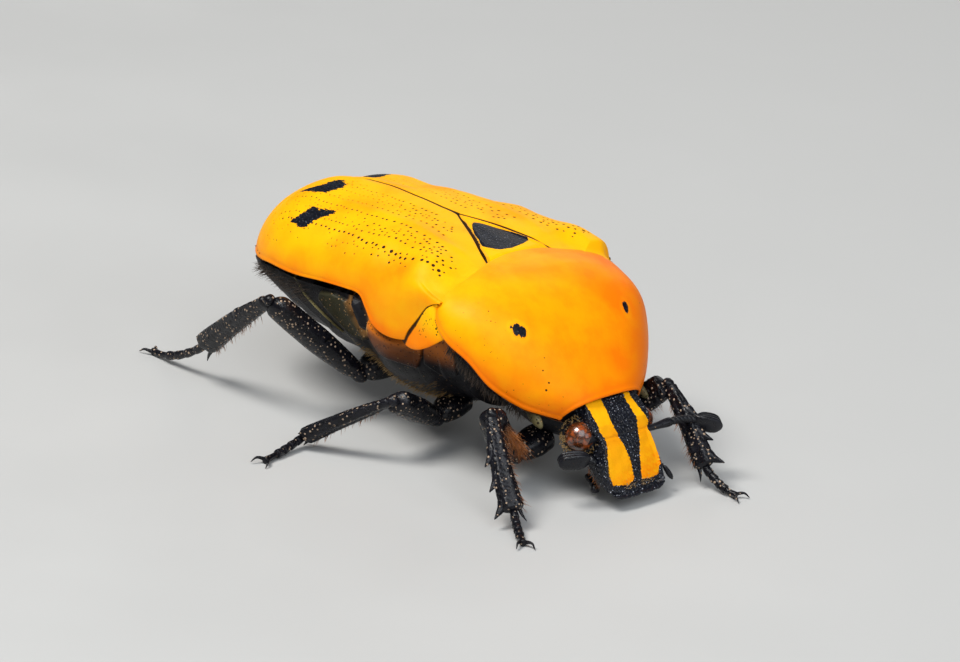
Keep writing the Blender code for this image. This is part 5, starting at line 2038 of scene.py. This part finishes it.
@dataclass
class Leg:
    """One leg: hip, thigh, toothed shin, a foot of five beads and two claws."""

    kind: Kind
    side: Side
    stance: Stance
    bristle_count: int = 90
    bristle_reach: int = 9800

    def __post_init__(self) -> None:
        """Works out the leg's four points and its frame."""
        self.shape = LEG_SHAPES[self.kind]
        self.label = f"{self.kind.value}_{self.side.word}"
        points = np.array(getattr(self.shape, self.side.word), float) * (1, self.side.value, 1)
        self.root, self.knee, self.ankle, self.tip = points
        self.along = unit(self.ankle - self.knee)
        outer = self.knee - self.root
        if self.side is Side.RIGHT and self.shape.right_outer:
            outer = np.array(self.shape.right_outer)
        self.outer = unit(outer - self.along * (outer @ self.along))

    def build(self, bench: Bench, finishes: Finishes) -> None:
        """Makes the leg's pieces.

        Args:
            bench: makes the pieces.
            finishes: the finishes to take from.
        """
        thigh, shin = self.thigh(), self.shin()
        bench.piece(f"thigh_shell_{self.label}", thigh, finishes.leg, [f"thigh_{self.label}"], Slot.BLACK)
        bench.piece(f"shin_shell_{self.label}", shin, finishes.leg, [f"shin_{self.label}"], Slot.BLACK)
        self.bristles(bench, finishes, shin)
        bench.piece(
            f"foot_shell_{self.label}", self.foot(), finishes.leg, [f"foot_{self.label}"], Slot.BLACK
        )

    def bristles(self, bench: Bench, finishes: Finishes, shin: Sheet) -> None:
        """Grows short stiff hair on the shin's inner edge.

        Args:
            bench: makes the pieces.
            finishes: the finishes to take one from.
            shin: the shin's surface.
        """
        count = self.bristle_count
        name = f"shin_hair_{self.label}"
        rng = np.random.default_rng(len(name) + count)
        axis = unit(self.ankle - self.knee)
        roots = shin.points[rng.integers(0, self.bristle_reach, count * 8)]
        places = (roots - self.knee) @ axis / np.linalg.norm(self.ankle - self.knee)
        out = unit(roots - self.knee - axis * ((roots - self.knee) @ axis)[:, None])
        chosen = (out @ self.outer < -0.55) & (places > 0.2) & (places < 0.95)
        roots, out = roots[chosen][:count], out[chosen][:count]
        ways = out * 0.7 + axis * 0.7 + rng.normal(size=roots.shape) * 0.2
        growth = (roots, ways, rng.uniform(0.18, 0.5, len(roots)), 0.035)
        Strands(count).piece(bench, name, growth, finishes.brown_hair, [f"shin_{self.label}"])

    def thigh(self) -> Sheet:
        """The hip, the small joint and the thigh."""
        width = self.shape.thigh_width
        along = unit(self.knee - self.root)
        steps = np.linspace(0, 1, 130)
        end = self.knee - along * 0.12
        bow = np.sin(math.pi * steps)[:, None] * 0.25 * self.outer
        path = self.root + (end - self.root) * steps[:, None] + bow
        taper = Profile(
            ((0, 0.6), (0.08, 0.76), (0.2, 0.88), (0.4, 1), (0.62, 1), (0.8, 0.98), (0.93, 0.92), (1, 0.8))
        )
        sizes = width * taper(steps) * np.maximum(blunt(steps, 0.06, 0.1), 0.05)
        grid = tube(path, sizes, sizes * 0.78, self.outer, 84, 2.3)
        grid, pit = self.pressed(grid, path, self.shape.thigh_pits, self.shape.thigh_pit_size)
        limb = grid_sheet(grid, around=True, caps=(True, True), masks={"pit": pit})
        sheets = [limb.outward(path.mean(axis=0))]
        size = self.shape.hip_size
        centre = np.array(self.shape.hip) * (1, self.side.value, 1)
        inner = centre + (0, -self.side.value * 0.7 * size[1], 0.2)
        reach = ((0, size[0] * 1.5), (0.45, size[0] * 1.7), (0.8, size[0] * 1.3), (1, 0.95))
        sheets.append(rod((inner, centre, self.root), reach, (1, 0, 0), 0.8, 50, 40, 2.2, (0.15, 0.2)))
        sheets.append(ball(self.root - along * 0.05, (0.6, 0.5, 0.46), 20, 26, self.frame(along)))
        sheets.append(ball(self.knee + self.along * 0.06, (0.3, 0.33, 0.36), 24, 30, self.frame(along)))
        return joined(sheets)

    def frame(self, along: np.ndarray) -> np.ndarray:
        """Three axes with the first along a joint."""
        across = unit(np.cross(along, self.outer))
        return np.array((along, np.cross(across, along), across))

    def pressed(self, grid: np.ndarray, path: np.ndarray, count: int, size: float) -> tuple:
        """A limb's grid with scattered punctures, except at its ends.

        Args:
            grid: the limb's points.
            path: its middle line.
            count: number of punctures.
            size: their middle size.

        Returns:
            The new grid and the punctures' mask.
        """
        rng = np.random.default_rng(len(self.label) * 7 + count)
        rows, columns = grid.shape[:2]
        dimples = Dimples()
        for _ in range(count):
            pick = grid[rng.integers(int(rows * 0.08), int(rows * 0.94)), rng.integers(0, columns)]
            dimples.add(pick, size * rng.uniform(0.7, 1.2), size * 0.55, 0.9)
        normals = unit(grid - path[:, None])
        return dimples.press(grid, normals)

    def shin(self) -> Sheet:
        """The shin with its ridges, teeth and spurs."""
        width = self.shape.shin_width
        start = self.knee + self.along * 0.18
        steps = np.linspace(0, 1, 130)
        bow = np.sin(math.pi * steps)[:, None] * 0.12 * self.outer
        path = start + (self.ankle - start) * steps[:, None] + bow
        taper = Profile(
            (
                (0, 0.7), (0.1, 0.72), (0.25, 0.84), (0.45, 0.95), (0.65, 1.02), (0.85, 1.12), (0.96, 1.1),
                (1, 0.9)
            )
        )
        sizes = width * taper(steps) * np.maximum(blunt(steps, 0.04, 0.05), 0.05)
        depths = sizes * 0.7
        grid = tube(path, sizes, depths, self.outer, 76, 2.2)
        turn = np.linspace(0, 2 * math.pi, 76, endpoint=False)[None, :, None]
        ridge = 0.05 * hump(np.abs(np.sin(turn * 0.5)), 0.0, 0.12)
        ridge = ridge + 0.03 * np.cos(turn * 6) * np.abs(np.sin(turn))
        fade = smoothstep(0.05, 0.2, steps)[:, None, None]
        grid = grid + unit(grid - path[:, None]) * ridge * fade
        grid, pit = self.pressed(grid, path, 420, 0.055)
        limb = grid_sheet(grid, around=True, caps=(True, True), masks={"pit": pit})
        sheets = [limb.outward(path.mean(axis=0))]
        sheets.append(ball(self.knee + self.along * 0.12, (0.3, 0.34, 0.32), 20, 26, self.frame(self.along)))
        length = np.linalg.norm(self.ankle - start)
        for place in self.shape.teeth:
            reach = self.shape.tooth_reach * (0.75 + 0.25 * place)
            seat = start + self.along * length * (place - 0.05) + self.outer * width * 0.2
            base = start + self.along * length * (place - 0.26) + self.outer * width * 0.12
            tip = seat + (self.outer * 0.8 + self.along * 0.62) * reach
            middle = seat + self.outer * width * 0.22 - self.along * 0.08
            sizes = ((0, 0.3 * width), (0.45, 0.62 * width), (0.72, 0.36 * width), (1, 0.05 * width))
            sheets.append(rod((base, middle, tip), sizes, self.along, 0.8, 36, 18, 2.0, (0.1, 0.03)))
        base = self.ankle - self.along * 0.35 - self.outer * width * 0.3
        across = np.cross(self.along, self.outer)
        for way in self.shape.spur_ways:
            tip = base + (self.along - self.outer * 0.28 + across * way) * self.shape.spur
            sheets.append(self.thorn(base + across * way * 0.4, tip, width * 0.26, 0.06 * self.outer))
        return joined(sheets)

    def thorn(self, base: np.ndarray, tip: np.ndarray, width: float, bend: np.ndarray) -> Sheet:
        """A curved, pointed tooth.

        Args:
            base: middle of its foot.
            tip: its point.
            width: width of its foot.
            bend: how far its middle is moved.

        Returns:
            The tooth's sheet.
        """
        middle = (base + tip) / 2 + bend
        sizes = ((0, width), (0.3, width * 0.82), (0.7, width * 0.42), (1, width * 0.1))
        return rod(
            (base, middle, tip), sizes, wide=self.along, flat=0.7, rows=22, around=16, ends=(0.02, 0.05)
        )

    def foot(self) -> Sheet:
        """The foot: five joints down to the floor and along it, and two claws."""
        forward = unit(self.tip - self.ankle)
        start = self.ankle - forward * 0.05
        lift = 0.212
        end = np.array((self.tip[0], self.tip[1], self.stance.floor(self.tip[0]) + lift))
        start[2] = max(start[2], self.stance.floor(start[0]) + lift + 0.1)
        middle = start + (end - start) * 0.55
        middle[2] = self.stance.floor(middle[0]) + lift

        def place(step: float) -> np.ndarray:
            """A point on the foot's curve."""
            return start * (1 - step) ** 2 + middle * (2 * step * (1 - step)) + end * step**2

        sheets = []
        cuts = [0, 0.165, 0.33, 0.495, 0.66, 1.0]
        for number, (first, last) in enumerate(zip(cuts[:-1], cuts[1:])):
            stations = [place(first + (last - first) * share) for share in (-0.04, 0.5, 1.03)]
            wide = 0.42 if number == 4 else 0.54
            sizes = ((0, 0.4), (0.2, wide * 0.84), (0.8, wide), (1, wide * 0.92))
            sheets.append(rod(stations, sizes, flat=0.92, rows=30, around=24, ends=(0.06, 0.07)))
            tip_place, ahead = place(last), unit(place(last) - place(first))
            if number < 4:
                for way in (-1, 1):
                    out = unit(np.cross(ahead, (0, 0, 1))) * way
                    base = tip_place - ahead * 0.12 + out * wide * 0.3
                    point = base + ahead * 0.32 + out * 0.12 - np.array((0, 0, 0.05))
                    sheets.append(
                        rod((base, point), ((0, 0.09), (1, 0.02)), rows=8, around=8, ends=(0.01, 0.05))
                    )
        forward = unit(end - middle)
        across = unit(np.cross(forward, (0, 0, 1)))
        for turn in (-1, 1):
            base = end - forward * 0.2 + across * 0.1 * turn
            bend = base + forward * 0.42 + across * 0.3 * turn + np.array((0, 0, 0.1))
            point = base + forward * 0.75 + across * 0.42 * turn - np.array((0, 0, lift * 0.6))
            sizes = ((0, 0.24), (0.4, 0.17), (0.8, 0.09), (1, 0.03))
            sheets.append(rod((base, bend, point), sizes, rows=26, around=12, ends=(0.02, 0.04)))
        return joined(sheets)


@dataclass
class Strands:
    """A patch of short stiff hair."""

    seed: int
    sides: int = 3

    def grow(
        self, roots: np.ndarray, ways: np.ndarray, lengths: np.ndarray, width: float, droop: float = 0.15
    ) -> tuple:
        """Makes the strands.

        Args:
            roots: where each strand starts, in body millimetres.
            ways: the way each strand points.
            lengths: each strand's length.
            width: width at the root.
            droop: how far the tip falls, as a share of the length.

        Returns:
            The strands as a sheet, and the UV place of each of its points.
        """
        rng = np.random.default_rng(self.seed)
        roots, ways = np.asarray(roots, float), unit(ways)
        lengths = np.asarray(lengths, float)[:, None]
        steps = np.array((0, 0.35, 0.7, 1.0))
        sizes = np.array((1, 0.8, 0.5, 0.12)) * width / 2
        bend = unit(rng.normal(size=roots.shape)) * 0.1 + (0, 0, -droop)
        across = unit(np.cross(ways, rng.normal(size=roots.shape)))
        over = np.cross(ways, across)
        rings = []
        for step, size in zip(steps, sizes):
            centre = roots + ways * lengths * step + bend * lengths * step**2
            for corner in range(self.sides):
                turn = 2 * math.pi * corner / self.sides
                rings.append(centre + (across * math.cos(turn) + over * math.sin(turn)) * size)
        count = len(roots)
        points = np.stack(rings, axis=1)
        block = np.arange(len(steps) * self.sides).reshape(len(steps), self.sides)
        wide = np.concatenate((block, block[:, :1]), axis=1)
        quads = np.stack((wide[:-1, :-1], wide[1:, :-1], wide[1:, 1:], wide[:-1, 1:]), -1).reshape(-1, 4)
        offsets = np.arange(count)[:, None, None] * block.size
        all_quads = (quads[None] + offsets).reshape(-1, 4)
        tips = (block[-1][None, None] + offsets).reshape(-1, 3)
        along = np.tile(np.repeat(steps, self.sides), count)
        sheet = Sheet(points.reshape(-1, 3), all_quads, tips, {"along": along})
        u = (roots[:, 0] + 22) / 44
        v = (np.arctan2(roots[:, 2] + 5, roots[:, 1]) / math.pi + 1) / 2
        patch = 0.003
        corner_u = np.tile(np.tile(np.arange(self.sides) / self.sides, len(steps)), (count, 1)) * patch
        corner_v = np.tile(np.repeat(steps, self.sides), (count, 1)) * patch
        uv = np.stack((u[:, None] + corner_u, v[:, None] + corner_v), -1).reshape(-1, 2)
        return sheet, np.clip(uv, 0.001, 0.999)

    def piece(self, bench: Bench, name: str, growth: tuple, material: Material, nodes: list) -> None:
        """Makes the hair as a piece with its UV map.

        Args:
            bench: makes the piece.
            name: its name.
            growth: what grow() takes, in order.
            material: the hair's finish.
            nodes: the solid nodes that it stands for.
        """
        sheet, uv = self.grow(*growth)
        made = bench.piece(name, sheet, material, nodes, Slot.BLACK)
        layer = made.data.uv_layers.new(name="OFBake")
        corners = np.zeros(len(made.data.loops), dtype=np.int32)
        made.data.loops.foreach_get("vertex_index", corners)
        layer.data.foreach_set("uv", uv[corners].astype(np.float32).ravel())


class Hair(Enum):
    """The kinds of hair."""

    BROWN = "brown_hair"
    DARK = "dark_hair"
    GOLD = "gold_hair"


@dataclass(frozen=True)
class Fringe:
    """Hair along a line, on one or both sides. Its stations are places on the left side."""

    name: str
    node: str
    hair: Hair
    stations: tuple
    way: tuple
    count: int = 200
    scatter: float = 0.08
    reach: tuple = (0.4, 0.8)
    width: float = 0.035

    def build(self, bench: Bench, finishes: Finishes, side: Side) -> None:
        """Grows the line on one side.

        Args:
            bench: makes the pieces.
            finishes: the finishes to take from.
            side: the side to grow it on.
        """
        rng = np.random.default_rng(len(self.name) + self.count)
        mirror = np.array((1, side.value, 1))
        line = path_through(self.stations, 200)[rng.integers(0, 200, self.count)]
        roots = (line + rng.normal(size=line.shape) * self.scatter) * mirror
        ways = np.array(self.way) * mirror + rng.normal(size=line.shape) * 0.28
        growth = (roots, ways, rng.uniform(*self.reach, self.count), self.width)
        finish = getattr(finishes, self.hair.value)
        name, node = f"{self.name}_{side.word}", self.node.format(side.word)
        Strands(self.count).piece(bench, name, growth, finish, [node])


FRINGES = (
    Fringe(
        "thigh_fringe", "thigh_fore_{}", Hair.BROWN, ((6.1, 4.3, -7.8), (6.4, 5.2, -6.9), (6.5, 6, -6)),
        (0.8, 0, -0.5), 260, 0.1, (0.4, 1.1)
    ),
    Fringe(
        "collar_hair", "fore_chest", Hair.DARK,
        ((1.8, 6.5, -3.1), (3.4, 6.3, -3.8), (5.0, 5.6, -4.8), (6.3, 4.5, -5.6)), (0, 0.15, -1), 380, 0.1,
        (0.25, 0.6)
    ),
    Fringe(
        "mouth_brush", "head", Hair.BROWN, ((8.8, 1.85, -7.7), (9.5, 1.8, -8.5), (10.0, 1.6, -9.05)),
        (-0.2, 0.4, -1), 70, 0.05, (0.1, 0.28)
    ),
    Fringe(
        "rim_scales", "head", Hair.GOLD, ((11.34, 0.2, -8.63), (11.37, 0.6, -8.66), (11.31, 1.0, -8.6)),
        (0.3, 0, 0.8), 40, 0.1, (0.04, 0.08), 0.05
    )
)


@dataclass
class Studio:
    """Floor, lights and camera."""

    eye_place: tuple = (0.20183, -0.20543, 0.1128)
    right: tuple = (0.69350, 0.71629, 0.07733)
    up: tuple = (-0.30191, 0.19148, 0.93391)
    back: tuple = (0.65415, -0.67101, 0.34904)
    lens: float = 205.0
    film: float = 36.0
    floor_reach: float = 3.0
    aim: tuple = (0, 0, 0.006)
    room: tuple = (0.8, 0.86, 0.95, 1)
    room_strength: float = 0.13
    lamps: tuple = (
        ("key", (-0.08, -0.2, 0.4), 0.18, 2.1, (1.0, 0.98, 0.95)),
        ("sky", (0.34, -0.2, 0.42), 0.46, 2.0, (0.9, 0.95, 1.0)),
        ("fill", (0.42, 0.1, 0.16), 0.2, 0.25, (0.86, 0.92, 1.0)),
        ("rim", (-0.22, 0.4, 0.22), 0.3, 0.3, (1.0, 0.98, 0.94))
    )

    def build(self) -> None:
        """Sets the stage."""
        floor = bpy.data.meshes.new("floor")
        reach = self.floor_reach
        corners = [(-reach, -reach, 0), (reach, -reach, 0), (reach, reach, 0), (-reach, reach, 0)]
        floor.from_pydata(corners, [], [(0, 1, 2, 3)])
        floor.materials.append(FloorFinish("floor").material())
        made = bpy.data.objects.new("floor", floor)
        bpy.context.scene.collection.objects.link(made)
        camera = bpy.data.objects.new("camera", bpy.data.cameras.new("camera"))
        camera.data.lens = self.lens
        camera.data.sensor_width = self.film
        camera.data.clip_start = 0.01
        turn = Matrix((self.right, self.up, self.back)).transposed().to_4x4()
        camera.matrix_world = Matrix.Translation(self.eye_place) @ turn
        bpy.context.scene.collection.objects.link(camera)
        bpy.context.scene.camera = camera
        for lamp in self.lamps:
            self.light(*lamp)
        world = bpy.data.worlds.new("room")
        world.use_nodes = True
        world.node_tree.nodes["Background"].inputs[0].default_value = self.room
        world.node_tree.nodes["Background"].inputs[1].default_value = self.room_strength
        bpy.context.scene.world = world
        bpy.context.scene.view_settings.view_transform = "Standard"

    def light(self, name: str, place: tuple, size: float, power: float, colour: tuple) -> None:
        """Adds a soft square light that faces the beetle.

        Args:
            name: its name.
            place: its place, in metres.
            size: length of its edge.
            power: its power, in watts.
            colour: its colour.
        """
        data = bpy.data.lights.new(name, "AREA")
        data.size = size
        data.energy = power
        data.color = colour
        made = bpy.data.objects.new(name, data)
        made.location = place
        made.rotation_euler = (Vector(self.aim) - Vector(place)).to_track_quat("-Z", "Y").to_euler()
        bpy.context.scene.collection.objects.link(made)


def main() -> None:
    """Builds the beetle, then its stage."""
    logging.basicConfig(level=logging.INFO, format="%(message)s")
    stance = Stance()
    bench = Bench(stance)
    finishes = Finishes.make()
    head = Head()
    NeckShield().build(bench, finishes)
    Scutellum().build(bench, finishes)
    head.build(bench, finishes)
    Trunk().build(bench, finishes)
    for side in Side:
        for part in (WingCover(side), Eye(side, head), Feeler(side), Palp(side), SidePlate(side)):
            part.build(bench, finishes)
        for kind in Kind:
            Leg(kind, side, stance).build(bench, finishes)
        for fringe in FRINGES:
            fringe.build(bench, finishes, side)
    Studio().build()


if __name__ == "__main__":
    main()
